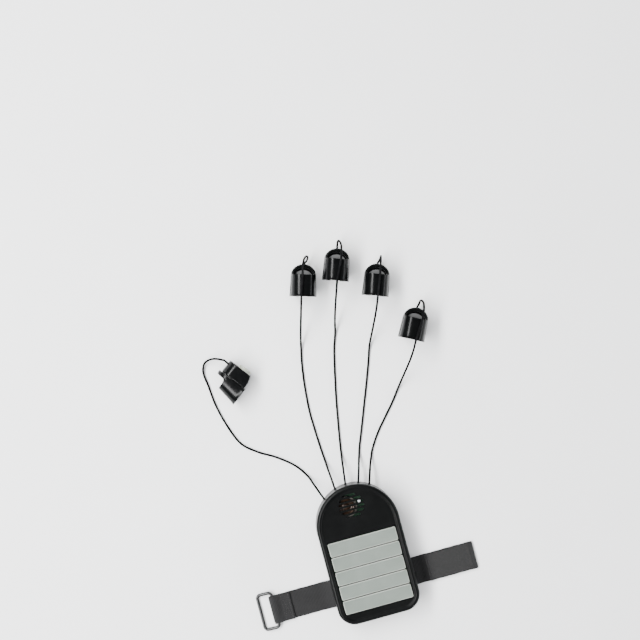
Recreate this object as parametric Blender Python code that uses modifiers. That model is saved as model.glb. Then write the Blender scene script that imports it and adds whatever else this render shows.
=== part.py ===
"""Wearable finger piano: a control unit for the back of the hand, five cords and five fingertip sensors.

Sizes are in millimetres while a piece is shaped, and each finished mesh is scaled to metres.
The row frame has +Z up and +Y towards the fingertips. Its origin is the centre of the control
unit's half-round head, on the unit's flat back, which lies on the table with the sensors.
"""

import math

import bmesh
import bpy
from mathutils import Matrix, Vector

MM = 0.001
GAP = 0.3  # clearance between neighbouring solids
OVERSHOOT = 5.0  # how far a cutter runs past what it cuts

# Control unit, seen from above: a half-round head at +Y and a square foot with round corners.
HEAD_R = 29.5
FOOT_Y = -66.5
FOOT_CORNER_R = 12.0
UNIT_TURN = 15.0  # degrees that the unit is turned, anticlockwise from above
WALL = 1.8
EDGE_ROUND = 2.2
RIM_WIDTH = 3.4

# Control unit, heights above the flat back.
UNIT_HEIGHT = 20.5
PARTING_Z = 10.0
FLOOR_TOP = 2.2
PANEL_Z = 19.6  # the sunken face inside the rim
ROOF_Z = 17.8  # underside of that face
BOARD_Z = 13.3
BOARD_THICKNESS = 1.0
MAT_Z = 14.6
MAT_THICKNESS = 0.8

# Keys.
KEY_COUNT = 5
KEY_PITCH = 10.4
KEY_SIZE = (48.9, 9.9)
KEY_TOP_Z = 20.1
KEY_BOTTOM_Z = 16.6
KEY_TAB = (1.6, 5.0, 0.9)  # reach past the key's end, width, thickness
WINDOW_HALF_WIDTH = 24.8
WINDOW_TOP_Y = -6.3
WINDOW_FOOT_Y = WINDOW_TOP_Y - KEY_COUNT * KEY_PITCH - 0.2

# Speaker grille and what lies under it.
GRILLE_CENTRE = (-1.2, 15.4)
GRILLE_R = 9.4
SLOT_COUNT = 6
SLOT_PITCH = 2.9
SLOT_WIDTH = 1.7
SPEAKER_CENTRE = (-4.6, 14.8)
SPEAKER_R = 7.4
LED_CENTRE = (5.0, 16.85)
LED_R = 1.2

# Screws through the back.
HEAD_SCREWS = ((-20.0, 11.0), (20.0, 11.0))
FOOT_SCREWS = ((-14.0, -62.2), (14.0, -62.2))
POST_R = 2.9
FOOT_POST_R = 2.2
SCREW_HOLE_R = 1.35
SCREW_RECESS = (2.4, 3.0)  # radius, depth

# Strap across the back, near the foot.
STRAP_WIDTH = 20.0
CHANNEL_Y = (-55.0, -33.0)
CHANNEL_TOP_Z = 3.6
CHANNEL_ROOF = 1.6
BRIDGE_TOP_Z = 1.2
BRIDGE_INNER_X = 23.5
STRAP_THICKNESS = 1.5
RING_AXIS = (-72.0, 2.9)  # x and z of the ring's bar, in the unit's frame
RING_BAR_R = 1.1
RING_SIZE = (10.5, 25.2)  # between bar centres, along and across the strap
STRAP_EYE_R = 2.9

# Battery bay between the head and the strap: two AAA cells side by side across the unit.
BAY_Y = (-29.8, -7.8)
BAY_HALF_LENGTH = 22.9
CELL_R = 5.25
CELL_LENGTH = 44.5
DOOR_THICKNESS = 1.4
DOOR_LEDGE = 1.2
DOOR_TAB = (4.2, -1.9, -4.3)  # half width, end, and where its screw is
CELL_Z = DOOR_THICKNESS + 0.35 + CELL_R
CELL_Y = (BAY_Y[0] + CELL_R + 0.3, BAY_Y[1] - CELL_R - 0.3)

# Power switch in the unit's right wall.
SWITCH_Y = -44.0
SWITCH_Z = 7.5
SWITCH_TRAVEL = 3.0
KNOB = (3.1, 4.0, 2.6)

# Fingertip sensor, in its own frame: +Y towards the fingertip, origin under the sleeve's rear
# edge, at the level of the button's face.
CAP_REAR_HALF = 9.5
CAP_FRONT_HALF = 8.9
CAP_TURN_Y = 14.6  # where the sides end and the round front begins
CAP_FRONT_Y = 22.8
HOUSING_HALF = (8.7, 8.2)
HOUSING_Y = (1.0, 20.9)
HOUSING_Z = (2.3, 12.0)
HOUSING_WALL = 1.4
HOUSING_FLOOR = 1.6
HOUSING_REAR_Y = 2.6  # rear of the hollow inside
HOUSING_SLOPE = (1.6, 5.2)  # how far the rear wall leans in, over the height where it does
FLANGE_Z = (12.3, 14.2)
SADDLE_Z = 10.8
BORE_FLOOR_Z = 11.9
SLEEVE_FRONT_Y = 15.4
SLEEVE_TOP_REAR_Z = 25.6
SLEEVE_TOP_FRONT_Z = 22.8
SLEEVE_WALL = 1.5
SLEEVE_HALF = (9.1, 8.6)  # at its rear and at its front edge
SLEEVE_RIM = (9.5, 0.3, 1.1)  # half width, rise over the sleeve's top, and length of the rear rim
SLEEVE_SWEEP_R = 4.4  # the front edge's curve where it runs forward into the flange
ARCH_SQUARENESS = 2.5  # 2 would be an ellipse
TROUGH_HALF = 6.9
TROUGH_FRONT_Y = 20.2
BUTTON_Y = 8.6
BUTTON_R = 4.8
BUTTON_COLLAR_R = 5.6
CORD_HOLE_Z = 5.1

# Cords.
CORD_R = 0.75
CORD_HOLE_R = CORD_R + GAP
CORD_POINT_SPACING = 3.6
CORD_FLOOR_Z = CORD_R + 0.05
CURVE_STEPS = 16

# Where each long finger's sensor lies and how its cord runs. rear is the middle of the sleeve's
# rear edge, and turn is clockwise from above, in degrees. exit is the angle on the unit's head
# where the cord leaves, heading its direction there and swing how far it bends rightwards on its
# way down. floor lists the points that it passes on the table. bend is its sideways shift where it
# lifts off, over the shifts where it crosses the sleeve's edges, and loop that of its last turn.
FINGERS = {
    "index": {
        "rear": (-38.9, 160.9), "turn": 1.4, "exit": 123.0, "heading": 109.0, "swing": 0.0,
        "bend": 1.4, "over": (-1.5, -0.9), "loop": 3.2,
        "floor": ((-29.2, 63.6), (-33.8, 79.5), (-37.0, 96.0), (-39.1, 112.0)),
    },
    "middle": {
        "rear": (-16.1, 172.0), "turn": 4.4, "exit": 107.4, "heading": 96.5, "swing": 0.0,
        "bend": 2.7, "over": (0.6, 2.3), "loop": -0.2,
        "floor": ((-13.0, 67.0), (-14.6, 86.0), (-15.7, 106.0), (-16.2, 124.0)),
    },
    "ring": {
        "rear": (12.0, 161.4), "turn": 5.0, "exit": 89.4, "heading": 86.5, "swing": 0.0,
        "bend": -1.0, "over": (0.9, 1.4), "loop": 2.2,
        "floor": ((3.3, 67.0), (5.0, 83.0), (6.8, 100.0), (8.1, 114.0)),
    },
    "little": {
        "rear": (37.4, 130.8), "turn": 12.5, "exit": 73.9, "heading": 88.0, "swing": 2.2,
        "bend": -2.6, "over": (2.2, 3.8), "loop": 1.2,
        "floor": ((14.9, 64.0), (19.8, 74.5), (24.9, 85.0)),
    },
}  # fmt: skip

# The thumb's sensor lies on its side, button to the right and sleeve to the left.
THUMB_PLACE = (-82.1, 110.0)  # the middle of the housing's button face, seen from above
THUMB_HEADING = 142.3  # degrees from +X that its tip points
THUMB_EXIT = 143.0
THUMB_EXIT_HEADING = 126.0
THUMB_FLOOR = (
    (-43.6, 40.6), (-57.3, 46.8), (-70.2, 50.5), (-82.3, 56.4), (-92.1, 68.9), (-100.5, 84.1), (-105.6, 97.5),
)  # fmt: skip
THUMB_LOOP = ((-109.3, 107.4, 1.6), (-108.0, 114.0, 3.6), (-102.2, 116.9, 6.6))


# ---------------------------------------------------------------- materials and placing


def material(name, colour, roughness, metallic=0.0, alpha=1.0):
    made = bpy.data.materials.new(name)
    made.use_nodes = True
    shader = made.node_tree.nodes["Principled BSDF"]
    shader.inputs["Base Color"].default_value = (*colour, 1.0)
    shader.inputs["Roughness"].default_value = roughness
    shader.inputs["Metallic"].default_value = metallic
    shader.inputs["Alpha"].default_value = alpha
    return made


def make_materials():
    return {
        "case_plastic": material("case_plastic", (0.018, 0.019, 0.02), 0.42),
        "cap_plastic": material("cap_plastic", (0.01, 0.011, 0.012), 0.22),
        "key_plastic": material("key_plastic", (0.42, 0.45, 0.42), 0.35),
        "button_plastic": material("button_plastic", (0.62, 0.64, 0.58), 0.35, alpha=0.9),
        "cord_jacket": material("cord_jacket", (0.008, 0.008, 0.009), 0.45),
        "board_green": material("board_green", (0.01, 0.09, 0.03), 0.4),
        "mylar": material("mylar", (0.19, 0.1, 0.05), 0.3),
        "metal": material("metal", (0.62, 0.62, 0.63), 0.3, metallic=1.0),
        "silicone": material("silicone", (0.3, 0.3, 0.3), 0.6),
        "white_plastic": material("white_plastic", (0.85, 0.86, 0.88), 0.25),
        "chip_black": material("chip_black", (0.01, 0.01, 0.01), 0.3),
        "cell_wrap": material("cell_wrap", (0.05, 0.13, 0.3), 0.35),
        "webbing": material("webbing", (0.014, 0.014, 0.015), 0.85),
    }


def make_collection(name):
    collection = bpy.data.collections.new(name)
    bpy.context.scene.collection.children.link(collection)
    return collection


def frame_empty(name, matrix, collection):
    """An empty that carries the pieces of one assembly. Its matrix is in millimetres."""
    empty = bpy.data.objects.new(name, None)
    collection.objects.link(empty)
    metres = matrix.copy()
    metres.translation = matrix.translation * MM
    empty.matrix_world = metres
    return empty


def place(name, mesh, look, parent, collection, origin=(0, 0, 0)):
    """Links a finished mesh as one named piece. origin is where its own origin goes, in its parent's frame."""
    piece = bpy.data.objects.new(name, mesh)
    piece.parent = parent
    piece.location = Vector(origin) * MM
    collection.objects.link(piece)
    if look.name not in mesh.materials:
        mesh.materials.append(look)
    return piece


# ---------------------------------------------------------------- shaping tools, in millimetres


def workpiece(mesh):
    piece = bpy.data.objects.new("workpiece", mesh)
    bpy.context.scene.collection.objects.link(piece)
    return piece


def evaluated_mesh(piece):
    bpy.context.view_layer.update()
    graph = bpy.context.evaluated_depsgraph_get()
    return bpy.data.meshes.new_from_object(piece.evaluated_get(graph))


def finished(piece, origin=(0, 0, 0)):
    """The workpiece's mesh in metres, with its own origin at the point given, and the workpiece removed."""
    mesh = piece.data
    mesh.transform(Matrix.Translation(-Vector(origin)))
    mesh.transform(Matrix.Scale(MM, 4))
    mesh.shade_smooth()
    mesh.set_sharp_from_angle(angle=math.radians(35))
    bpy.data.objects.remove(piece)
    return mesh


def clean(piece):
    """Welds a mesh's loose seams and turns its faces outwards."""
    shape = bmesh.new()
    shape.from_mesh(piece.data)
    bmesh.ops.remove_doubles(shape, verts=shape.verts, dist=0.0001)
    bmesh.ops.recalc_face_normals(shape, faces=shape.faces)
    shape.to_mesh(piece.data)
    shape.free()
    return piece


def box(low, high):
    shape = bmesh.new()
    bmesh.ops.create_cube(shape, size=1.0)
    size = Vector(high) - Vector(low)
    middle = (Vector(high) + Vector(low)) / 2
    bmesh.ops.transform(
        shape, matrix=Matrix.Translation(middle) @ Matrix.Diagonal((*size, 1)), verts=shape.verts
    )
    mesh = bpy.data.meshes.new("box")
    shape.to_mesh(mesh)
    shape.free()
    return workpiece(mesh)


def rod(centre, radius, low, high, segments=24, turn=None):
    """A round bar along Z from low to high above centre, or along Z of the matrix turn."""
    shape = bmesh.new()
    bmesh.ops.create_cone(
        shape, cap_ends=True, segments=segments, radius1=radius, radius2=radius, depth=high - low
    )
    along = Matrix.Translation((0, 0, (low + high) / 2))
    matrix = Matrix.Translation(centre) @ (turn or Matrix.Identity(4)) @ along
    bmesh.ops.transform(shape, matrix=matrix, verts=shape.verts)
    mesh = bpy.data.meshes.new("rod")
    shape.to_mesh(mesh)
    shape.free()
    return workpiece(mesh)


def prism(outline, low, high):
    """A flat outline in XY given a thickness from low to high."""
    curve = bpy.data.curves.new("outline", "CURVE")
    curve.dimensions = "2D"
    curve.fill_mode = "BOTH"
    curve.extrude = (high - low) / 2
    spline = curve.splines.new("POLY")
    spline.points.add(len(outline) - 1)
    for point, (x, y) in zip(spline.points, outline):
        point.co = (x, y, 0, 1)
    spline.use_cyclic_u = True
    guide = workpiece(curve)
    mesh = evaluated_mesh(guide)
    bpy.data.objects.remove(guide)
    mesh.transform(Matrix.Translation((0, 0, (low + high) / 2)))
    return clean(workpiece(mesh))


def prism_along_y(outline, rear, front):
    """An outline in XZ given a length from rear to front along Y."""
    piece = prism(outline, -front, -rear)
    piece.data.transform(Matrix.Rotation(math.pi / 2, 4, "X"))
    return piece


def turned(profile, segments):
    """A closed profile of (radius, height) points, from the top down its outer side, spun about Z."""
    mesh = bpy.data.meshes.new("turned")
    mesh.from_pydata([(r, 0, z) for r, z in profile], [(i, i + 1) for i in range(len(profile) - 1)], [])
    piece = workpiece(mesh)
    spin = piece.modifiers.new("Spin", "SCREW")
    spin.steps = segments
    spin.render_steps = segments
    spin.use_merge_vertices = True
    spin.merge_threshold = 0.0001
    spun = evaluated_mesh(piece)
    piece.modifiers.clear()
    piece.data = spun
    return clean(piece)


def combine(piece, other, operation):
    modifier = piece.modifiers.new("Boolean", "BOOLEAN")
    modifier.object = other
    modifier.operation = operation
    mesh = evaluated_mesh(piece)
    piece.modifiers.clear()
    piece.data = mesh
    bpy.data.objects.remove(other)
    return piece


def cut(piece, *tools):
    for tool in tools:
        combine(piece, tool, "DIFFERENCE")
    return piece


def join(piece, *others):
    for other in others:
        combine(piece, other, "UNION")
    return piece


def rounded(piece, width, segments):
    """Rounds the piece's sharp edges."""
    bevel = piece.modifiers.new("Bevel", "BEVEL")
    bevel.width = width
    bevel.segments = segments
    bevel.limit_method = "ANGLE"
    bevel.angle_limit = math.radians(50)
    mesh = evaluated_mesh(piece)
    piece.modifiers.clear()
    piece.data = mesh
    return piece


def prism_along_x(outline, left, right):
    """An outline in YZ given a length from left to right along X."""
    piece = prism(outline, left, right)
    piece.data.transform(Matrix(((0, 0, 1, 0), (1, 0, 0, 0), (0, 1, 0, 0), (0, 0, 0, 1))))
    return piece


# ---------------------------------------------------------------- outlines


def arc(centre, radii, start, end, steps):
    """Points on an elliptical arc, angles in degrees."""
    points = []
    for step in range(steps + 1):
        angle = math.radians(start + (end - start) * step / steps)
        points.append((centre[0] + radii[0] * math.cos(angle), centre[1] + radii[1] * math.sin(angle)))
    return points


def unit_outline(inset, steps=22):
    """The control unit's outline from above, drawn in by inset."""
    half, corner = HEAD_R - inset, FOOT_CORNER_R - inset
    corner_x, corner_y = half - corner, FOOT_Y + inset + corner
    return (
        arc((0, 0), (half, half), 0, 180, steps)
        + arc((-corner_x, corner_y), (corner, corner), 180, 270, 5)
        + arc((corner_x, corner_y), (corner, corner), 270, 360, 5)
    )


def d_outline(rear_half, front_half, rear_y, turn_y, front_y, steps=10):
    """A sensor's outline from above: straight rear, tapering sides and a round front."""
    front = arc((0, turn_y), (front_half, front_y - turn_y), 0, 180, steps)
    return [(-rear_half, rear_y), (rear_half, rear_y), *front]


def arch_outline(half, low, top, steps=12):
    """An arch in XZ, squarer than an ellipse, standing on the level low."""
    points = []
    for step in range(steps + 1):
        angle = math.pi * step / steps
        x, z = math.cos(angle), math.sin(angle)
        square = 2 / ARCH_SQUARENESS
        points.append((half * math.copysign(abs(x) ** square, x), low + (top - low) * abs(z) ** square))
    return points


def slot_outline(centre, length, width):
    """A slot along X with round ends."""
    half = length / 2 - width / 2
    x, y = centre
    radii = (width / 2, width / 2)
    return arc((x + half, y), radii, -90, 90, 4) + arc((x - half, y), radii, 90, 270, 4)


# ---------------------------------------------------------------- control unit


def exit_point(angle):
    """Where a cord leaves the unit's head, in the row frame."""
    return Vector((HEAD_R * math.cos(math.radians(angle)), HEAD_R * math.sin(math.radians(angle)), PARTING_Z))


def heading_vector(angle):
    return Vector((math.cos(math.radians(angle)), math.sin(math.radians(angle)), 0))


def cord_holes(unit_frame):
    """Round cutters, in the unit's frame, along the first stretch of each cord."""
    exits = [(finger["exit"], finger["heading"]) for finger in FINGERS.values()]
    exits.append((THUMB_EXIT, THUMB_EXIT_HEADING))
    cutters = []
    for angle, heading in exits:
        centre = unit_frame.inverted() @ exit_point(angle)
        direction = unit_frame.to_3x3().inverted() @ heading_vector(heading)
        turn = direction.to_track_quat("Z", "Y").to_matrix().to_4x4()
        cutters.append(rod(centre, CORD_HOLE_R, -11.0, 4.0, segments=10, turn=turn))
    return cutters


def unit_body():
    """The whole pebble of the control unit before it is split."""
    return rounded(prism(unit_outline(0), 0, UNIT_HEIGHT), EDGE_ROUND, 3)


def big_box(low_z, high_z, low_y=-90.0, high_y=60.0):
    return box((-60, low_y, low_z), (60, high_y, high_z))


def front_cover(unit_frame):
    cover = cut(unit_body(), big_box(-OVERSHOOT, PARTING_Z + GAP / 2))
    cut(cover, prism(unit_outline(WALL), 0, ROOF_Z))
    cut(cover, prism(unit_outline(RIM_WIDTH), PANEL_Z, UNIT_HEIGHT + OVERSHOOT))
    window_low = (-WINDOW_HALF_WIDTH, WINDOW_FOOT_Y, ROOF_Z - OVERSHOOT)
    window_high = (WINDOW_HALF_WIDTH, WINDOW_TOP_Y, UNIT_HEIGHT + OVERSHOOT)
    cut(cover, box(window_low, window_high))
    for slot in range(SLOT_COUNT):
        offset = (slot - (SLOT_COUNT - 1) / 2) * SLOT_PITCH
        length = 2 * math.sqrt(GRILLE_R**2 - (abs(offset) + SLOT_WIDTH / 2) ** 2)
        centre = (GRILLE_CENTRE[0], GRILLE_CENTRE[1] + offset)
        cut(cover, prism(slot_outline(centre, length, SLOT_WIDTH), ROOF_Z - 1, UNIT_HEIGHT))
    for x, y in HEAD_SCREWS:
        join(cover, rod((x, y, 0), POST_R, PARTING_Z + GAP, ROOF_Z + 0.5, segments=16))
        cut(cover, rod((x, y, 0), SCREW_HOLE_R, PARTING_Z - 1, ROOF_Z - 2, segments=12))
    for x, y in FOOT_SCREWS:
        join(cover, rod((x, y, 0), FOOT_POST_R, PARTING_Z + GAP, ROOF_Z + 0.5, segments=16))
        cut(cover, rod((x, y, 0), SCREW_HOLE_R, PARTING_Z - 1, ROOF_Z - 2, segments=12))
    cut(cover, *cord_holes(unit_frame))
    return cover


def back_cover(unit_frame):
    cover = cut(unit_body(), big_box(PARTING_Z - GAP / 2, UNIT_HEIGHT + OVERSHOOT))
    hollow = prism(unit_outline(WALL), FLOOR_TOP, UNIT_HEIGHT)
    roof_top = CHANNEL_TOP_Z + CHANNEL_ROOF
    cut(hollow, big_box(0, roof_top, CHANNEL_Y[0] - CHANNEL_ROOF, CHANNEL_Y[1] + CHANNEL_ROOF))
    cut(cover, hollow)
    cut(cover, big_box(BRIDGE_TOP_Z, CHANNEL_TOP_Z, *CHANNEL_Y))
    recess_low = (-BRIDGE_INNER_X, CHANNEL_Y[0], -OVERSHOOT)
    cut(cover, box(recess_low, (BRIDGE_INNER_X, CHANNEL_Y[1], BRIDGE_TOP_Z + 1)))
    bay_low = (-BAY_HALF_LENGTH, BAY_Y[0], -OVERSHOOT)
    cut(cover, box(bay_low, (BAY_HALF_LENGTH, BAY_Y[1], FLOOR_TOP + 1)))
    ledge = DOOR_LEDGE
    seat_low = (-BAY_HALF_LENGTH - ledge, BAY_Y[0] - ledge, -OVERSHOOT)
    cut(cover, box(seat_low, (BAY_HALF_LENGTH + ledge, BAY_Y[1] + ledge, DOOR_THICKNESS + GAP)))
    tab_half, tab_end, screw_y = DOOR_TAB
    join(cover, rod((0, screw_y, 0), 2.4, FLOOR_TOP - 0.3, 7.5, segments=14))
    tab_seat_low = (-tab_half - GAP, BAY_Y[1], -OVERSHOOT)
    cut(cover, box(tab_seat_low, (tab_half + GAP, tab_end + GAP, DOOR_THICKNESS + GAP)))
    cut(cover, rod((0, screw_y, 0), 1.25, 0, 6.0, segments=12))
    contact_wall_low = (BAY_HALF_LENGTH + 0.6, BAY_Y[0] + 0.5, FLOOR_TOP - 0.5)
    contact_wall_high = (BAY_HALF_LENGTH + 2.2, BAY_Y[1] - 0.5, PARTING_Z - 1)
    join(cover, box(contact_wall_low, contact_wall_high))
    for (x, y), radius in [(p, POST_R) for p in HEAD_SCREWS] + [(p, FOOT_POST_R + 0.5) for p in FOOT_SCREWS]:
        join(cover, rod((x, y, 0), radius, FLOOR_TOP - 0.5, PARTING_Z - GAP, segments=16))
        cut(cover, rod((x, y, 0), SCREW_RECESS[0], -OVERSHOOT, SCREW_RECESS[1], segments=16))
        cut(cover, rod((x, y, 0), SCREW_HOLE_R, 0, PARTING_Z + 1, segments=12))
    slot = KNOB[1] / 2 + SWITCH_TRAVEL / 2 + GAP
    slot_low = (HEAD_R - WALL - 1, SWITCH_Y - slot, SWITCH_Z - KNOB[2] / 2 - GAP)
    cut(cover, box(slot_low, (HEAD_R + 1, SWITCH_Y + slot, SWITCH_Z + KNOB[2] / 2 + GAP)))
    cut(cover, *cord_holes(unit_frame))
    return cover


def circuit_board():
    outline = arc((0, 0), (26.4, 26.4), 0, 180, 18) + [(-26.4, -57.5), (26.4, -57.5)]
    board = prism(outline, BOARD_Z, BOARD_Z + BOARD_THICKNESS)
    for x, y in HEAD_SCREWS:
        cut(board, rod((x, y, 0), POST_R + 0.4, 0, UNIT_HEIGHT, segments=14))
    return cut(board, rod((*SPEAKER_CENTRE, 0), SPEAKER_R + 0.4, 0, UNIT_HEIGHT, segments=20))


def speaker_frame():
    """Basket with its magnet under it, open at the front for the cone."""
    outer, low, top = SPEAKER_R, BOARD_Z - 1.6, 17.0
    profile = [(outer - 1, top), (outer, top), (outer, top - 1), (outer - 1.6, low), (4.2, low), (4.2, low - 2.2),
               (0, low - 2.2)]  # fmt: skip
    inside = [(0, low + 0.8), (outer - 2.4, low + 0.8), (outer - 1, top)]
    return turned(inside + profile[1:], 20)


def speaker_cone():
    """Moulded film with a raised ring and a centre dome."""
    low, top = 15.0, 16.6
    outer = SPEAKER_R - 1.7
    upper = [(0, 16.5), (1.6, 16.2), (2.4, 15.5), (3.4, 15.4), (4.6, 16.3), (5.4, top), (outer, 16.2)]
    lower = [(outer, 15.9), (5.3, 16.1), (3.4, low), (0, low)]
    return turned(upper + lower, 20)


def status_led():
    r, low = LED_R, BOARD_Z + BOARD_THICKNESS + GAP
    return turned([(0, 17.6), (r * 0.5, 17.4), (r * 0.85, 16.9), (r, 16.2), (r, low), (0, low)], 12)


def sound_chip():
    top = BOARD_Z - GAP
    return turned([(0, top), (5.0, top), (4.2, top - 0.9), (2.2, top - 1.4), (0, top - 1.5)], 14)


def key_y(number):
    """The middle of a key along the unit; key 1 is nearest the speaker."""
    return WINDOW_TOP_Y - KEY_PITCH * (number - 0.5) - 0.1


def key_cap():
    """One long key, with a tab at each end that stays under the cover. Its origin is its own middle."""
    length, width = KEY_SIZE
    cap = rounded(box((-length / 2, -width / 2, KEY_BOTTOM_Z), (length / 2, width / 2, KEY_TOP_Z)), 0.35, 2)
    reach, tab_width, thickness = KEY_TAB
    tab_low = (-length / 2 - reach, -tab_width / 2, KEY_BOTTOM_Z)
    return join(cap, box(tab_low, (length / 2 + reach, tab_width / 2, KEY_BOTTOM_Z + thickness)))


def key_mat():
    """Rubber mat with one dome under each key."""
    mat = box((-24, key_y(KEY_COUNT) - 4.5, MAT_Z), (24, key_y(1) + 4.5, MAT_Z + MAT_THICKNESS))
    for number in range(1, KEY_COUNT + 1):
        join(mat, rod((0, key_y(number), 0), 3.0, MAT_Z + 0.2, MAT_Z + MAT_THICKNESS + 0.2, segments=12))
    return mat


def battery_cell(y):
    """A AAA cell along X with its positive nub at +X."""
    half = CELL_LENGTH / 2
    profile = [(0, half), (1.8, half), (1.8, half - 1), (CELL_R - 0.4, half - 1), (CELL_R, half - 1.5),
               (CELL_R, -half + 0.4), (CELL_R - 0.4, -half), (0, -half)]  # fmt: skip
    cell = turned(profile, 16)
    cell.data.transform(Matrix.Translation((0, y, CELL_Z)) @ Matrix.Rotation(math.pi / 2, 4, "Y"))
    return cell


def tube(points, radius, cyclic=False):
    """A round wire or cord along the points."""
    curve = bpy.data.curves.new("tube", "CURVE")
    curve.dimensions = "3D"
    curve.bevel_depth = radius
    curve.bevel_resolution = 2
    curve.use_fill_caps = not cyclic
    spline = curve.splines.new("POLY")
    spline.points.add(len(points) - 1)
    for point, place_ in zip(spline.points, points):
        point.co = (*place_, 1)
    spline.use_cyclic_u = cyclic
    guide = workpiece(curve)
    mesh = evaluated_mesh(guide)
    bpy.data.objects.remove(guide)
    return clean(workpiece(mesh))


def battery_spring(y):
    """A conical coil between the left wall and a cell's flat end."""
    turns, per_turn = 3, 8
    points = []
    for step in range(turns * per_turn + 1):
        share = step / (turns * per_turn)
        angle = 2 * math.pi * turns * share
        radius = 3.6 - 1.8 * share
        x = -26.8 + 3.6 * share
        points.append((x, y + radius * math.cos(angle), CELL_Z + radius * math.sin(angle)))
    return tube(points, 0.3)


def battery_plate():
    """The strip that joins the two cells' positive ends."""
    return box((22.55, BAY_Y[0] + 1.5, CELL_Z - 3.2), (23.05, BAY_Y[1] - 1.5, CELL_Z + 3.2))


def battery_door():
    gap, ledge = GAP, DOOR_LEDGE
    low = (-BAY_HALF_LENGTH - ledge + gap, BAY_Y[0] - ledge + gap, 0)
    door = box(low, (BAY_HALF_LENGTH + ledge - gap, BAY_Y[1] + ledge - gap, DOOR_THICKNESS))
    tab_half, tab_end, screw_y = DOOR_TAB
    join(door, box((-tab_half, BAY_Y[1], 0), (tab_half, tab_end, DOOR_THICKNESS)))
    cut(door, rod((0, screw_y, 0), 1.25, -1, 5, segments=12))
    return cut(door, rod((0, screw_y, 0), 1.95, -1, 0.85, segments=12))


def screw(x, y, head_low, head_r, shaft_r, length):
    """A pan-head screw pointing up, with a cross recess in its head."""
    head = 1.3 if length > 8 else 0.5
    profile = [(0, head_low + length), (shaft_r * 0.5, head_low + length), (shaft_r, head_low + length - 0.6),
               (shaft_r, head_low + head), (head_r, head_low + head), (head_r, head_low + 0.3),
               (head_r - 0.4, head_low), (0, head_low)]  # fmt: skip
    piece = turned(profile, 12)
    piece.data.transform(Matrix.Translation((x, y, 0)))
    depth = head_low + head * 0.55
    cut(piece, box((x - head_r * 0.6, y - 0.25, -1), (x + head_r * 0.6, y + 0.25, depth)))
    return cut(piece, box((x - 0.25, y - head_r * 0.6, -1), (x + 0.25, y + head_r * 0.6, depth)))


def cable_anchor(unit_frame):
    """A curved comb inside the head that grips the five cords."""
    outline = arc((0, 0), (25.6, 25.6), 47, 139, 12) + arc((0, 0), (22.2, 22.2), 139, 47, 12)
    return cut(prism(outline, FLOOR_TOP + GAP, PARTING_Z + 1.8), *cord_holes(unit_frame))


def power_switch_body():
    inner = HEAD_R - WALL - GAP
    return box((inner - 5.5, SWITCH_Y - 5, SWITCH_Z - 1.9), (inner, SWITCH_Y + 5, SWITCH_Z + 2.1))


def power_switch_knob():
    """The knob's origin is its own middle; at rest it is at the OFF end, away from the head."""
    depth, width, height = KNOB
    low_x = HEAD_R - WALL - GAP + 0.25
    knob = box((low_x, -width / 2, -height / 2), (low_x + depth, width / 2, height / 2))
    return rounded(knob, 0.3, 2)


def strap():
    """Webbing through the back channel: a sewn eye at the left end, and the right end folded back on itself."""
    t = STRAP_THICKNESS
    lift = BRIDGE_TOP_Z + GAP + 0.2
    end_x, fold_x = 74.0, 40.0
    eye_x, sewn_x = RING_AXIS[0], -60.0
    under = [(eye_x, 0.0), (-36, 0.0), (-28.5, lift), (28.5, lift), (36, 0.0), (end_x, 0.0)]
    fold = arc((end_x, t), (t, t), -60, 90, 5)
    over = [(fold_x, 2 * t), (fold_x - 0.8, t), (36, t), (28.5, lift + t), (-28.5, lift + t), (-36, t),
            (sewn_x - 0.8, t), (sewn_x, 2 * t), (eye_x + 2, 2 * t + 0.3)]  # fmt: skip
    middle = sum(CHANNEL_Y) / 2
    band = prism_along_y(under + fold + over, middle - STRAP_WIDTH / 2, middle + STRAP_WIDTH / 2)
    along_y = Matrix.Rotation(-math.pi / 2, 4, "X")
    centre = (RING_AXIS[0], middle, RING_AXIS[1])
    half = STRAP_WIDTH / 2
    join(band, rod(centre, STRAP_EYE_R, -half, half, segments=16, turn=along_y))
    return cut(band, rod(centre, RING_BAR_R + GAP, -half - 1, half + 1, segments=12, turn=along_y))


def strap_ring():
    """A rectangular wire loop. Its origin is on the bar inside the strap's eye, and its far bar rests on the table."""
    reach, width = RING_SIZE
    corner = 2.4
    half = width / 2
    points = []
    corners = (((-corner, half - corner), 0), ((-reach + corner, half - corner), 90),
               ((-reach + corner, -half + corner), 180), ((-corner, -half + corner), 270))  # fmt: skip
    for centre, start in corners:
        points += arc(centre, (corner, corner), start, start + 90, 3)
    ring = tube([(x, y, 0) for x, y in points], RING_BAR_R, cyclic=True)
    droop = math.asin((RING_AXIS[1] - RING_BAR_R - 0.05) / reach)
    ring.data.transform(Matrix.Rotation(-droop, 4, "Y"))
    return ring


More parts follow.
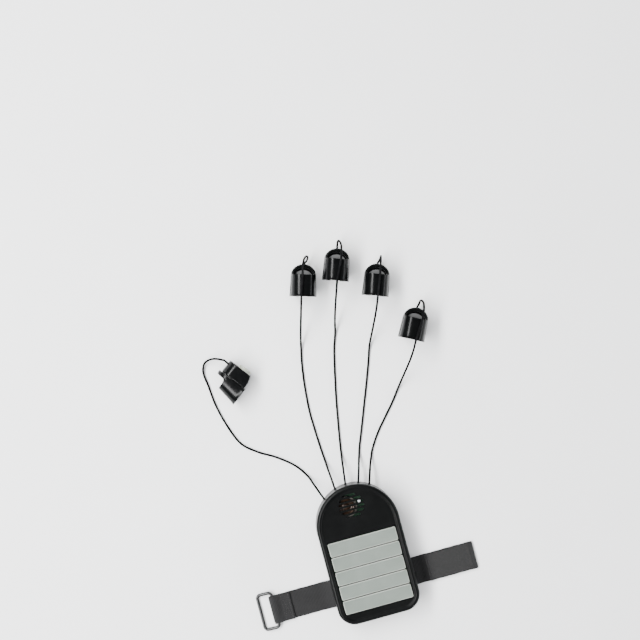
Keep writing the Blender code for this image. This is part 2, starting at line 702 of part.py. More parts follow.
def make_unit(looks, collection):
    unit_frame = Matrix.Rotation(math.radians(UNIT_TURN), 4, "Z")
    unit = frame_empty("control_unit", unit_frame, collection)

    def add(name, piece, look, origin=(0, 0, 0)):
        return place(name, finished(piece), looks[look], unit, collection, origin)

    add("front_cover", front_cover(unit_frame), "case_plastic")
    add("back_cover", back_cover(unit_frame), "case_plastic")
    add("circuit_board", circuit_board(), "board_green")
    add("speaker_frame", speaker_frame(), "metal", (*SPEAKER_CENTRE, 0))
    add("speaker_cone", speaker_cone(), "mylar", (*SPEAKER_CENTRE, 0))
    add("status_led", status_led(), "white_plastic", (*LED_CENTRE, 0))
    add("sound_chip", sound_chip(), "chip_black", (6, -42, 0))
    key_mesh = finished(key_cap())
    for number in range(1, KEY_COUNT + 1):
        place(f"key_{number}", key_mesh, looks["key_plastic"], unit, collection, (0, key_y(number), 0))
    add("key_mat", key_mat(), "silicone")
    for number, y in enumerate(CELL_Y, start=1):
        add(f"battery_{number}", battery_cell(y), "cell_wrap")
        add(f"battery_spring_{number}", battery_spring(y), "metal")
    add("battery_plate", battery_plate(), "metal")
    hinge = (0, BAY_Y[1] + DOOR_LEDGE - GAP - 0.5, 0.5)
    place("battery_door", finished(battery_door(), hinge), looks["case_plastic"], unit, collection, hinge)
    add("door_screw", screw(0, DOOR_TAB[2], 0.05, 1.6, 0.9, 5.0), "metal")
    for number, (x, y) in enumerate(HEAD_SCREWS + FOOT_SCREWS, start=1):
        add(f"case_screw_{number}", screw(x, y, 1.3, 2.0, 1.0, 12.0), "metal")
    add("cable_anchor", cable_anchor(unit_frame), "case_plastic")
    add("power_switch_body", power_switch_body(), "chip_black")
    knob_y = SWITCH_Y - SWITCH_TRAVEL / 2
    add("power_switch_knob", power_switch_knob(), "case_plastic", (0, knob_y, SWITCH_Z))
    add("strap", strap(), "webbing")
    ring_origin = (RING_AXIS[0], sum(CHANNEL_Y) / 2, RING_AXIS[1])
    add("strap_ring", strap_ring(), "case_plastic", ring_origin)


# ---------------------------------------------------------------- fingertip sensors


def tapered(piece, rear_half, front_half, rear_top, front_top, floor):
    """Narrows and lowers a piece evenly from its rear at Y 0 to the sleeve's front edge."""
    for vertex in piece.data.vertices:
        share = vertex.co.y / SLEEVE_FRONT_Y
        vertex.co.x *= 1 + share * (front_half / rear_half - 1)
        lowered = 1 + share * ((front_top - floor) / (rear_top - floor) - 1)
        vertex.co.z = floor + (vertex.co.z - floor) * lowered
    return piece


def ahead_of_sleeve():
    """Cutter for all that is ahead of the front edge, which curves forward at its foot into the flange."""
    r, foot = SLEEVE_SWEEP_R, FLANGE_Z[1] - 0.3
    sweep = arc((SLEEVE_FRONT_Y + r, foot + r), (r, r), 180, 270, 6)
    return prism_along_x([(SLEEVE_FRONT_Y, 40), *sweep, (40, foot), (40, 40)], -20, 20)


def sleeve_arch():
    """The solid arch over the finger, before its bore is cut."""
    low = FLANGE_Z[1] - 0.7
    rear_half, front_half = SLEEVE_HALF
    arch = prism_along_y(arch_outline(rear_half, low, SLEEVE_TOP_REAR_Z), 0.05, 21.5)
    tapered(arch, rear_half, front_half, SLEEVE_TOP_REAR_Z, SLEEVE_TOP_FRONT_Z, low)
    around = prism(d_outline(rear_half + 0.3, CAP_FRONT_HALF - 0.1, -1, CAP_TURN_Y, CAP_FRONT_Y - 0.2), 13, 30)
    combine(arch, around, "INTERSECT")
    cut(arch, ahead_of_sleeve())
    rim_half, rise, length = SLEEVE_RIM
    return join(arch, prism_along_y(arch_outline(rim_half, low, SLEEVE_TOP_REAR_Z + rise), 0.05, length))


def finger_bore():
    half = SLEEVE_HALF[0] - SLEEVE_WALL
    top = SLEEVE_TOP_REAR_Z - SLEEVE_WALL
    middle = (BORE_FLOOR_Z + top) / 2
    upper = arch_outline(half, middle, top)
    lower = arch_outline(half - 0.8, middle, BORE_FLOOR_Z)[::-1]
    bore = prism_along_y(upper + lower[1:-1], -OVERSHOOT, SLEEVE_FRONT_Y + 0.6)
    front_half, front_top = SLEEVE_HALF[1] - SLEEVE_WALL, SLEEVE_TOP_FRONT_Z - SLEEVE_WALL
    return tapered(bore, half, front_half, top, front_top, BORE_FLOOR_Z)


def finger_sleeve():
    """Flange, saddle and arch in one moulding, with the finger's bore and the open trough ahead of it."""
    sleeve = prism(d_outline(CAP_REAR_HALF, CAP_FRONT_HALF, 0, CAP_TURN_Y, CAP_FRONT_Y), *FLANGE_Z)
    join(sleeve, prism(d_outline(6.8, 6.4, 3.4, 13.5, 18.6), SADDLE_Z, FLANGE_Z[0] + 0.6), sleeve_arch())
    cut(sleeve, finger_bore())
    trough_outline = d_outline(TROUGH_HALF, TROUGH_HALF, 12.0, CAP_TURN_Y, TROUGH_FRONT_Y)
    between_arms = prism(trough_outline, 13, 30)
    cut(between_arms, box((-20, -20, 0), (20, SLEEVE_FRONT_Y - 0.05, 60)))
    return cut(sleeve, prism(trough_outline, BORE_FLOOR_Z + 0.1, FLANGE_Z[1] + 0.5), between_arms)


def sensor_housing():
    """Box under the finger, open at the top, with the button's hole in its floor and a leaning rear wall."""
    low, top = HOUSING_Z
    rear, front = HOUSING_Y
    wall = HOUSING_WALL
    housing = prism(d_outline(*HOUSING_HALF, rear, CAP_TURN_Y - 0.6, front), low, top)
    lean, height = HOUSING_SLOPE
    steep = lean / height
    foot_y, top_y = rear + lean + steep * 2, rear - steep * 2
    cut(housing, prism_along_x([(-3, low - 2), (foot_y, low - 2), (top_y, low + height + 2), (-3, low + height + 2)],
                               -20, 20))  # fmt: skip
    rounded(housing, 0.5, 1)
    half_rear, half_front = HOUSING_HALF
    inside = d_outline(half_rear - wall, half_front - wall, HOUSING_REAR_Y, CAP_TURN_Y - 0.6, front - wall)
    cut(housing, prism(inside, low + HOUSING_FLOOR, top + OVERSHOOT))
    cut(housing, rod((0, BUTTON_Y, 0), BUTTON_R + GAP, 0, low + HOUSING_FLOOR + 1, segments=20))
    forward = Matrix.Rotation(-math.pi / 2, 4, "X")
    return cut(housing, rod((0, front, CORD_HOLE_Z), CORD_HOLE_R, -wall - 1, 1, segments=10, turn=forward))


def push_button():
    """Button with its retaining collar and stem. Its origin is on its own axis."""
    collar_low = HOUSING_Z[0] + HOUSING_FLOOR + GAP
    profile = [(0, 7.3), (1.3, 7.3), (1.3, collar_low + 1), (BUTTON_COLLAR_R, collar_low + 1),
               (BUTTON_COLLAR_R, collar_low), (BUTTON_R, collar_low), (BUTTON_R, 0.5), (BUTTON_R - 0.5, 0), (0, 0)]
    return turned(profile, 20)


def push_switch():
    """Small sealed switch whose well takes the button's stem."""
    body = box((-3, BUTTON_Y - 3, 6.5), (3, BUTTON_Y + 3, 9.5))
    return cut(body, rod((0, BUTTON_Y, 0), 1.65, 5, 9.0, segments=12))


def sensor_board():
    return box((-6.2, 3.3, 9.8), (6.2, 15.0, 10.5))


def finger_matrix(finger):
    place_ = Matrix.Translation((*finger["rear"], 0))
    return place_ @ Matrix.Rotation(-math.radians(finger["turn"]), 4, "Z")


def thumb_matrix():
    """The sensor rolled onto its left side, its tapering side flat on the table."""
    forward = heading_vector(THUMB_HEADING)
    dorsal = Vector((0, 0, 1)).cross(forward)
    turn = Matrix((Vector((0, 0, 1)), forward, dorsal)).transposed().to_4x4()
    lean = Matrix.Rotation(math.atan((CAP_REAR_HALF - CAP_FRONT_HALF) / CAP_TURN_Y), 4, "Z")
    face_middle = Vector((0, (HOUSING_Y[0] + HOUSING_Y[1]) / 2, HOUSING_Z[0]))
    origin = Vector((*THUMB_PLACE, 0)) - turn @ face_middle
    origin.z = CAP_REAR_HALF * math.cos(lean.to_euler().z) + 0.02
    return Matrix.Translation(origin) @ turn @ lean


def sensor_frames():
    frames = {name: finger_matrix(finger) for name, finger in FINGERS.items()}
    frames["thumb"] = thumb_matrix()
    return frames


def make_sensors(looks, collection):
    shapes = (
        ("sleeve", finished(finger_sleeve()), "cap_plastic", (0, 0, 0)),
        ("housing", finished(sensor_housing()), "cap_plastic", (0, 0, 0)),
        ("button", finished(push_button()), "button_plastic", (0, BUTTON_Y, 0)),
        ("switch", finished(push_switch()), "chip_black", (0, 0, 0)),
        ("board", finished(sensor_board()), "board_green", (0, 0, 0)),
    )
    for name, matrix in sensor_frames().items():
        sensor = frame_empty(f"{name}_sensor", matrix, collection)
        for kind, mesh, look, origin in shapes:
            place(f"{name}_{kind}", mesh, looks[look], sensor, collection, origin)


# ---------------------------------------------------------------- cords


def sleeve_top_z(x, y):
    """Height of the sleeve's outer surface at a sideways shift x and a distance y from its rear edge."""
    share = y / SLEEVE_FRONT_Y
    half = SLEEVE_HALF[0] + share * (SLEEVE_HALF[1] - SLEEVE_HALF[0])
    top = SLEEVE_TOP_REAR_Z + share * (SLEEVE_TOP_FRONT_Z - SLEEVE_TOP_REAR_Z)
    low = FLANGE_Z[1] - 0.7
    return low + (top - low) * (1 - abs(x / half) ** ARCH_SQUARENESS) ** (1 / ARCH_SQUARENESS)


def leaving_unit(angle, heading, swing):
    """The cord's start: clamped inside the head, out through the wall and down to the table."""
    start, direction = exit_point(angle), heading_vector(heading)
    rightwards = direction.cross(Vector((0, 0, 1)))
    stations = ((-7.4, 0.0), (-3.0, 0.0), (2.5, -0.1), (8.0, -2.0), (13.5, -5.6), (19.0, -8.4),
                (25.0, CORD_FLOOR_Z - PARTING_Z))  # fmt: skip
    points = []
    for along, drop in stations:
        aside = swing * max(along / 25.0, 0) ** 2
        points.append(start + direction * along + rightwards * aside + Vector((0, 0, drop)))
    return points


def over_sensor(finger):
    """The cord's end, in the sensor's frame: up from the table, over the sleeve, round the tip and into the front."""
    rear_x, front_x = finger["over"]
    loop_x = finger["loop"]
    ride = CORD_R + GAP + 0.1
    rear_z = sleeve_top_z(rear_x, 0) + ride
    front_z = sleeve_top_z(front_x, SLEEVE_FRONT_Y) + ride
    middle_x = (rear_x + front_x) / 2
    middle_z = sleeve_top_z(middle_x, SLEEVE_FRONT_Y / 2) + ride
    rise = ((-36, 1.8), (-28.5, 6.4), (-21, 13.8), (-13, rear_z - 4.6), (-6, rear_z - 0.4), (0, rear_z + 0.2))
    return [Vector((rear_x + finger["bend"] * (y / 36) ** 2, y, z)) for y, z in rise] + [
        Vector((middle_x, SLEEVE_FRONT_Y / 2, middle_z + 0.1)), Vector((front_x, SLEEVE_FRONT_Y, front_z)),
        Vector((front_x, 21.0, front_z - 2.4)), Vector((front_x * 0.8 + loop_x * 0.2, 25.8, front_z - 6.6)),
        Vector((loop_x * 0.6 + front_x * 0.3, 28.4, 12.0)), Vector((loop_x * 0.9, 27.8, 7.8)),
        Vector((loop_x * 0.72, 25.6, 5.6)), Vector((loop_x * 0.24, 23.6, CORD_HOLE_Z)),
        Vector((0, 21.8, CORD_HOLE_Z)), Vector((0, 20.2, CORD_HOLE_Z)), Vector((0, 18.6, CORD_HOLE_Z)),
    ]  # fmt: skip


def cord_routes():
    """Each cord's own points in the row frame, from inside the unit to inside its sensor."""
    routes = {}
    for name, finger in FINGERS.items():
        matrix = finger_matrix(finger)
        floor = [Vector((x, y, CORD_FLOOR_Z)) for x, y in finger["floor"]]
        last = [matrix @ point for point in over_sensor(finger)]
        routes[name] = leaving_unit(finger["exit"], finger["heading"], finger["swing"]) + floor + last
    floor = [Vector((x, y, CORD_FLOOR_Z)) for x, y in THUMB_FLOOR]
    loop = [Vector(point) for point in THUMB_LOOP]
    matrix = thumb_matrix()
    last = [matrix @ Vector((0, y, CORD_HOLE_Z)) for y in (24.4, 22.6, 20.6, 18.8)]
    routes["thumb"] = leaving_unit(THUMB_EXIT, THUMB_EXIT_HEADING, 0.0)[:-1] + floor + loop + last
    return routes


def smooth_route(route, spacing):
    """Points about spacing apart on a smooth curve through the route's own points."""
    at = [0.0]
    for a, b in zip(route, route[1:]):
        at.append(at[-1] + (b - a).length)
    last = len(route) - 1
    slopes = []
    for i in range(last + 1):
        before, after = max(i - 1, 0), min(i + 1, last)
        slopes.append((route[after] - route[before]) / (at[after] - at[before]))
    fine = []
    for i in range(last):
        span = at[i + 1] - at[i]
        for step in range(CURVE_STEPS):
            t = step / CURVE_STEPS
            fine.append(
                route[i] * (2 * t**3 - 3 * t**2 + 1) + slopes[i] * span * (t**3 - 2 * t**2 + t)
                + route[i + 1] * (3 * t**2 - 2 * t**3) + slopes[i + 1] * span * (t**3 - t**2)
            )  # fmt: skip
    fine.append(route[-1])
    for point in fine:
        point.z = max(point.z, CORD_FLOOR_Z)
    return evenly_spaced(fine, spacing)


def evenly_spaced(line, spacing):
    total = sum((b - a).length for a, b in zip(line, line[1:]))
    count = round(total / spacing)
    step, points, gone = total / count, [line[0]], 0.0
    for a, b in zip(line, line[1:]):
        length = (b - a).length
        while len(points) < count and gone + length >= step * len(points):
            points.append(a.lerp(b, (step * len(points) - gone) / length))
        gone += length
    return [*points, line[-1]]


def make_cords(looks, collection):
    for name, route in cord_routes().items():
        cord = tube(smooth_route(route, CORD_POINT_SPACING), CORD_R)
        place(f"{name}_cord", finished(cord), looks["cord_jacket"], None, collection)


def main():
    for leftover in list(bpy.data.objects):
        bpy.data.objects.remove(leftover)
    looks = make_materials()
    collection = make_collection("finger_piano")
    make_unit(looks, collection)
    make_sensors(looks, collection)
    make_cords(looks, collection)


main()
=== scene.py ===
"""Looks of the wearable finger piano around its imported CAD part.

Shapes are worked out in millimetres in the frame of their assembly (the control unit's, or a
fingertip sensor's) and scaled to metres once finished. +Z is up, +Y points to the fingertips.
"""

import math

import bmesh
import bpy
from mathutils import Matrix, Vector


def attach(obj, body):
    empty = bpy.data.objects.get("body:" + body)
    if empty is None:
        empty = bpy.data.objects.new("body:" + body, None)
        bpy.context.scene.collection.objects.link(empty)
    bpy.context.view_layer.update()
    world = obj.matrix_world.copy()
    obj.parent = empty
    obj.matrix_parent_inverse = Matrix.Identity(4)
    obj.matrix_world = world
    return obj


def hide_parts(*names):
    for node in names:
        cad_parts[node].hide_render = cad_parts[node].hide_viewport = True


MM = 0.001
ROOT = "unit_and_sensors"
FINGER_NAMES = ("thumb", "index", "middle", "ring", "little")

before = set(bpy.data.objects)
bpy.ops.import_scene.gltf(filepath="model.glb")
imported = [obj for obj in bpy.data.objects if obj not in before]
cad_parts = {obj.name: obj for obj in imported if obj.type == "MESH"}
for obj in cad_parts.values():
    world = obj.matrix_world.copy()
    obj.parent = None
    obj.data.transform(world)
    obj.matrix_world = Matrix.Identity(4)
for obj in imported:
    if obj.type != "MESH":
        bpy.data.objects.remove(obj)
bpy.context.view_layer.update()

# ---------------- sizes, as the CAD part has them

HEAD_R = 29.5
FOOT_Y = -66.5
FOOT_CORNER_R = 12.0
UNIT_TURN = 15.0
WALL = 1.8
UNIT_HEIGHT = 20.5
PARTING_Z = 10.0
SEAM = 0.15
FLOOR_TOP = 2.2
PANEL_Z = 19.6
ROOF_Z = 17.8

KEY_COUNT = 5
KEY_PITCH = 10.4
KEY_SIZE = (48.9, 9.9)
KEY_TOP_Z = 20.1
KEY_RELIEF = 0.3
KEY_BOTTOM_Z = 16.6
KEY_EDGE_R = 0.35
KEY_CORNER_R = 0.9
WINDOW_HALF_WIDTH = 24.8
WINDOW_TOP_Y = -6.3
WINDOW_FOOT_Y = WINDOW_TOP_Y - KEY_COUNT * KEY_PITCH - 0.2

GRILLE_CENTRE = (-1.2, 15.4)
GRILLE_R = 9.4
SLOT_COUNT = 6
SLOT_PITCH = 2.9
SLOT_WIDTH = 1.7
SPEAKER_CENTRE = (-4.6, 14.8)
SPEAKER_R = 7.4
LED_CENTRE = (5.0, 16.85)
LED_R = 1.2

HEAD_SCREWS = ((-20.0, 11.0), (20.0, 11.0))
FOOT_SCREWS = ((-14.0, -62.2), (14.0, -62.2))
SCREW_RECESS = (2.4, 3.0)
CASE_SCREW = {"head_low": 1.3, "head_r": 2.0, "shaft_r": 1.0, "length": 12.0}
DOOR_SCREW = {"head_low": 0.05, "head_r": 1.6, "shaft_r": 0.9, "length": 5.0}

STRAP_WIDTH = 20.0
WEB_HALF = 0.72
SECOND_LAYER_Z = 3 * WEB_HALF + 0.06
CHANNEL_Y = (-55.0, -33.0)
STRAP_Y = sum(CHANNEL_Y) / 2
CHANNEL_TOP_Z = 3.6
BRIDGE_TOP_Z = 1.2
BRIDGE_INNER_X = 23.5
RING_AXIS = (-72.0, 2.9)
RING_BAR_R = 1.1
RING_SIZE = (10.5, 25.2)

BAY_Y = (-29.8, -7.8)
BAY_HALF_LENGTH = 22.9
CELL_SIZE = (44.5, 5.25)
DOOR_THICKNESS = 1.4
DOOR_LEDGE = 1.2
DOOR_TAB = (4.2, -1.9, -4.3)

SWITCH_Y = -44.0
SWITCH_Z = 7.5
SWITCH_TRAVEL = 3.0
KNOB = (3.1, 4.0, 2.6)

CAP_REAR_HALF = 9.5
CAP_FRONT_HALF = 8.9
CAP_TURN_Y = 14.6
CAP_FRONT_Y = 22.8
HOUSING_HALF = (8.7, 8.2)
HOUSING_Y = (1.0, 20.9)
HOUSING_Z = (2.3, 12.0)
HOUSING_WALL = 1.4
HOUSING_EDGE_R = 0.75
HOUSING_FLOOR = 1.6
HOUSING_REAR_Y = 2.6
HOUSING_SLOPE = (1.6, 5.2)
FLANGE_Z = (12.3, 14.2)
ARCH_FOOT_Z = FLANGE_Z[1] - 0.7
SADDLE_Z = 10.8
BORE_FLOOR_Z = 11.9
SLEEVE_FRONT_Y = 15.4
SLEEVE_TOP_REAR_Z = 25.6
SLEEVE_TOP_FRONT_Z = 22.8
SLEEVE_WALL = 1.5
SLEEVE_EDGE_R = 0.4
SLEEVE_HALF = (9.1, 8.6)
SLEEVE_RIM = (0.38, 0.3, 1.2)
SLEEVE_SWEEP_R = 4.4
LIP_RISE = 1.4
ARCH_SQUARENESS = 2.5
TROUGH_HALF = 6.9
TROUGH_FRONT_Y = 20.2
BUTTON_Y = 8.6
BUTTON_R = 4.8
BUTTON_COLLAR_R = 5.6
CORD_HOLE_Z = 5.1

CORD_R = 0.75
CORD_FLOOR_Z = CORD_R + 0.05
GAP = 0.3

FINGERS = {
    "index": {
        "rear": (-38.9, 160.9), "turn": 1.4, "exit": 123.0, "heading": 109.0, "swing": 0.0,
        "bend": 1.4, "over": (-1.5, -0.9), "loop": 3.2,
        "floor": ((-29.2, 63.6), (-33.8, 79.5), (-37.0, 96.0), (-39.1, 112.0)),
    },
    "middle": {
        "rear": (-16.1, 172.0), "turn": 4.4, "exit": 107.4, "heading": 96.5, "swing": 0.0,
        "bend": 2.7, "over": (0.6, 2.3), "loop": -0.2,
        "floor": ((-13.0, 67.0), (-14.6, 86.0), (-15.7, 106.0), (-16.2, 124.0)),
    },
    "ring": {
        "rear": (12.0, 161.4), "turn": 5.0, "exit": 89.4, "heading": 86.5, "swing": 0.0,
        "bend": -1.0, "over": (0.9, 1.4), "loop": 2.2,
        "floor": ((3.3, 67.0), (5.0, 83.0), (6.8, 100.0), (8.1, 114.0)),
    },
    "little": {
        "rear": (37.4, 130.8), "turn": 12.5, "exit": 73.9, "heading": 88.0, "swing": 2.2,
        "bend": -2.6, "over": (2.2, 3.8), "loop": 1.2,
        "floor": ((14.9, 64.0), (19.8, 74.5), (24.9, 85.0)),
    },
}  # fmt: skip

THUMB_PLACE = (-82.1, 110.0)
THUMB_HEADING = 142.3
THUMB_EXIT = 143.0
THUMB_EXIT_HEADING = 126.0
THUMB_FLOOR = (
    (-43.6, 40.6), (-57.3, 46.8), (-70.2, 50.5), (-82.3, 56.4), (-92.1, 68.9), (-100.5, 84.1),
    (-105.6, 97.5),
)  # fmt: skip
THUMB_LOOP = ((-109.3, 107.4, 1.6), (-108.0, 114.0, 3.6), (-102.2, 116.9, 6.6))

UNIT_FRAME = Matrix.Rotation(math.radians(UNIT_TURN), 4, "Z")


def new_object(name, data):
    made = bpy.data.objects.new(name, data)
    bpy.context.scene.collection.objects.link(made)
    return made


# ---------------- camera


def make_camera():
    """Looks down on the table from a little to the left of straight above, with +Y up in the picture."""
    lean, distance = math.radians(2.5), 1.1
    target = Vector((-0.0268, 0.1444, 0.012))
    back = Vector((-math.sin(lean), 0, math.cos(lean)))
    up = Vector((0, 1, 0))
    right = up.cross(back)
    data = bpy.data.cameras.new("camera")
    data.lens = 87.8
    data.clip_start = 0.01
    camera = new_object("camera", data)
    turn = Matrix((right, up, back)).transposed().to_4x4()
    camera.matrix_world = Matrix.Translation(target + back * distance) @ turn
    bpy.context.scene.camera = camera


# ---------------- cords


def heading_vector(angle):
    return Vector((math.cos(math.radians(angle)), math.sin(math.radians(angle)), 0))


def exit_point(angle):
    return heading_vector(angle) * HEAD_R + Vector((0, 0, PARTING_Z))


def finger_matrix(finger):
    place = Matrix.Translation((*finger["rear"], 0))
    return place @ Matrix.Rotation(-math.radians(finger["turn"]), 4, "Z")


def thumb_matrix():
    forward = heading_vector(THUMB_HEADING)
    dorsal = Vector((0, 0, 1)).cross(forward)
    turn = Matrix((Vector((0, 0, 1)), forward, dorsal)).transposed().to_4x4()
    lean = Matrix.Rotation(math.atan((CAP_REAR_HALF - CAP_FRONT_HALF) / CAP_TURN_Y), 4, "Z")
    face_middle = Vector((0, (HOUSING_Y[0] + HOUSING_Y[1]) / 2, HOUSING_Z[0]))
    origin = Vector((*THUMB_PLACE, 0)) - turn @ face_middle
    origin.z = CAP_REAR_HALF * math.cos(lean.to_euler().z) + 0.02
    return Matrix.Translation(origin) @ turn @ lean


def sensor_frames():
    frames = {name: finger_matrix(finger) for name, finger in FINGERS.items()}
    frames["thumb"] = thumb_matrix()
    return frames


def sleeve_top_z(x, y):
    share = y / SLEEVE_FRONT_Y
    half = SLEEVE_HALF[0] + share * (SLEEVE_HALF[1] - SLEEVE_HALF[0])
    top = SLEEVE_TOP_REAR_Z + share * (SLEEVE_TOP_FRONT_Z - SLEEVE_TOP_REAR_Z)
    rise = (1 - abs(x / half) ** ARCH_SQUARENESS) ** (1 / ARCH_SQUARENESS)
    return ARCH_FOOT_Z + (top - ARCH_FOOT_Z) * rise


def leaving_unit(angle, heading, swing):
    start, direction = exit_point(angle), heading_vector(heading)
    rightwards = direction.cross(Vector((0, 0, 1)))
    stations = ((-7.4, 0.0), (-3.0, 0.0), (2.5, -0.1), (8.0, -2.0), (13.5, -5.6), (19.0, -8.4),
                (25.0, CORD_FLOOR_Z - PARTING_Z))  # fmt: skip
    points = []
    for along, drop in stations:
        aside = swing * max(along / 25.0, 0) ** 2
        points.append(start + direction * along + rightwards * aside + Vector((0, 0, drop)))
    return points


def over_sensor(finger):
    rear_x, front_x = finger["over"]
    loop_x = finger["loop"]
    ride = CORD_R + GAP + 0.1
    rear_z = sleeve_top_z(rear_x, 0) + ride
    front_z = sleeve_top_z(front_x, SLEEVE_FRONT_Y) + ride
    middle_x = (rear_x + front_x) / 2
    middle_z = sleeve_top_z(middle_x, SLEEVE_FRONT_Y / 2) + ride
    rise = ((-36, 1.8), (-28.5, 6.4), (-21, 13.8), (-13, rear_z - 4.6), (-6, rear_z - 0.4),
            (0, rear_z + 0.2))  # fmt: skip
    return [Vector((rear_x + finger["bend"] * (y / 36) ** 2, y, z)) for y, z in rise] + [
        Vector((middle_x, SLEEVE_FRONT_Y / 2, middle_z + 0.1)), Vector((front_x, SLEEVE_FRONT_Y, front_z)),
        Vector((front_x, 21.0, front_z - 2.4)), Vector((front_x * 0.8 + loop_x * 0.2, 25.8, front_z - 6.6)),
        Vector((loop_x * 0.6 + front_x * 0.3, 28.4, 12.0)), Vector((loop_x * 0.9, 27.8, 7.8)),
        Vector((loop_x * 0.72, 25.6, 5.6)), Vector((loop_x * 0.24, 23.6, CORD_HOLE_Z)),
        Vector((0, 21.8, CORD_HOLE_Z)), Vector((0, 20.2, CORD_HOLE_Z)), Vector((0, 18.6, CORD_HOLE_Z)),
    ]  # fmt: skip


def cord_routes():
    routes = {}
    for name, finger in FINGERS.items():
        matrix = finger_matrix(finger)
        floor = [Vector((x, y, CORD_FLOOR_Z)) for x, y in finger["floor"]]
        last = [matrix @ point for point in over_sensor(finger)]
        routes[name] = leaving_unit(finger["exit"], finger["heading"], finger["swing"]) + floor + last
    floor = [Vector((x, y, CORD_FLOOR_Z)) for x, y in THUMB_FLOOR]
    loop = [Vector(point) for point in THUMB_LOOP]
    matrix = thumb_matrix()
    last = [matrix @ Vector((0, y, CORD_HOLE_Z)) for y in (24.4, 22.6, 20.6, 18.8)]
    routes["thumb"] = leaving_unit(THUMB_EXIT, THUMB_EXIT_HEADING, 0.0)[:-1] + floor + loop + last
    return routes


def smooth_route(route, steps=12):
    """A smooth curve through the route's points, as a list of points."""
    at = [0.0]
    for a, b in zip(route, route[1:]):
        at.append(at[-1] + (b - a).length)
    last = len(route) - 1
    slopes = []
    for i in range(last + 1):
        before, after = max(i - 1, 0), min(i + 1, last)
        slopes.append((route[after] - route[before]) / (at[after] - at[before]))
    fine = []
    for i in range(last):
        span = at[i + 1] - at[i]
        for step in range(steps):
            t = step / steps
            fine.append(
                route[i] * (2 * t**3 - 3 * t**2 + 1) + slopes[i] * span * (t**3 - 2 * t**2 + t)
                + route[i + 1] * (3 * t**2 - 2 * t**3) + slopes[i + 1] * span * (t**3 - t**2)
            )  # fmt: skip
    fine.append(route[-1])
    for point in fine:
        point.z = max(point.z, CORD_FLOOR_Z)
    return fine


def tube_curve(name, points, radius, cyclic=False, sides=6):
    curve = bpy.data.curves.new(name, "CURVE")
    curve.dimensions = "3D"
    curve.bevel_depth = radius * MM
    curve.bevel_resolution = sides
    curve.use_fill_caps = not cyclic
    spline = curve.splines.new("POLY")
    spline.points.add(len(points) - 1)
    for point, place in zip(spline.points, points):
        point.co = (*(Vector(place) * MM), 1)
    spline.use_cyclic_u = cyclic
    return new_object(name, curve)


def make_cords(looks):
    for name, route in cord_routes().items():
        points = smooth_route(route)
        cord = tube_curve(f"{name}_lead", points, CORD_R)
        cord.data.materials.append(looks["cord"])
        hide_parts(f"{name}_cord")
        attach(cord, ROOT)


# ---------------- materials


def add_node(tree, kind, **settings):
    node = tree.nodes.new(kind)
    for name, value in settings.items():
        setattr(node, name, value)
    return node


def set_inputs(node, values):
    for name, value in values.items():
        node.inputs[name].default_value = value


def fresh_look(name, values=None):
    """A new material with the shader's constant inputs set, its node tree and its shader."""
    made = bpy.data.materials.new(name)
    made.use_nodes = True
    shader = made.node_tree.nodes["Principled BSDF"]
    set_inputs(shader, values or {})
    return made, made.node_tree, shader


def link_surface(tree, shader, colour, rough=None):
    tree.links.new(colour, shader.inputs["Base Color"])
    if rough:
        tree.links.new(rough, shader.inputs["Roughness"])


def object_space(tree, stretch=(1, 1, 1)):
    """Object coordinates, stretched along an axis."""
    coordinates = add_node(tree, "ShaderNodeTexCoord")
    mapping = add_node(tree, "ShaderNodeMapping")
    set_inputs(mapping, {"Scale": stretch})
    tree.links.new(coordinates.outputs["Object"], mapping.inputs["Vector"])
    return mapping.outputs["Vector"]


def texture(tree, kind, space, values, **settings):
    node = add_node(tree, kind, **settings)
    set_inputs(node, values)
    tree.links.new(space, node.inputs["Vector"])
    return node.outputs


def noise_texture(tree, space, size_mm, detail=3.0, rough=0.5):
    values = {"Scale": 1000.0 / size_mm, "Detail": detail, "Roughness": rough}
    return texture(tree, "ShaderNodeTexNoise", space, values)["Fac"]


def ramp(tree, value, dark, light, start=0.3, end=0.7):
    """A blend of two colours, as the value goes from start to end."""
    node = add_node(tree, "ShaderNodeValToRGB")
    for element, position, colour in zip(node.color_ramp.elements, (start, end), (dark, light)):
        element.position = position
        element.color = (*colour, 1.0)
    tree.links.new(value, node.inputs["Fac"])
    return node.outputs["Color"]


def remap(tree, value, low, high, start=0.3, end=0.7):
    node = add_node(tree, "ShaderNodeMapRange")
    set_inputs(node, {"From Min": start, "From Max": end, "To Min": low, "To Max": high})
    tree.links.new(value, node.inputs["Value"])
    return node.outputs["Result"]


def math_node(tree, operation, a, b):
    node = add_node(tree, "ShaderNodeMath", operation=operation)
    for socket, value in zip(node.inputs, (a, b)):
        if isinstance(value, (int, float)):
            socket.default_value = value
        else:
            tree.links.new(value, socket)
    return node.outputs["Value"]


def mix_colours(tree, share, colour, other):
    """A colour socket blended towards a constant colour."""
    node = add_node(tree, "ShaderNodeMix", data_type="RGBA")
    tree.links.new(share, node.inputs["Factor"])
    start, end = (next(i for i in node.inputs if i.name == name and i.type == "RGBA") for name in "AB")
    tree.links.new(colour, start)
    end.default_value = (*other, 1.0)
    return next(o for o in node.outputs if o.type == "RGBA")


def add_bump(tree, shader, height, strength, depth_mm):
    bump = add_node(tree, "ShaderNodeBump")
    set_inputs(bump, {"Strength": strength, "Distance": depth_mm * MM})
    tree.links.new(height, bump.inputs["Height"])
    tree.links.new(bump.outputs["Normal"], shader.inputs["Normal"])


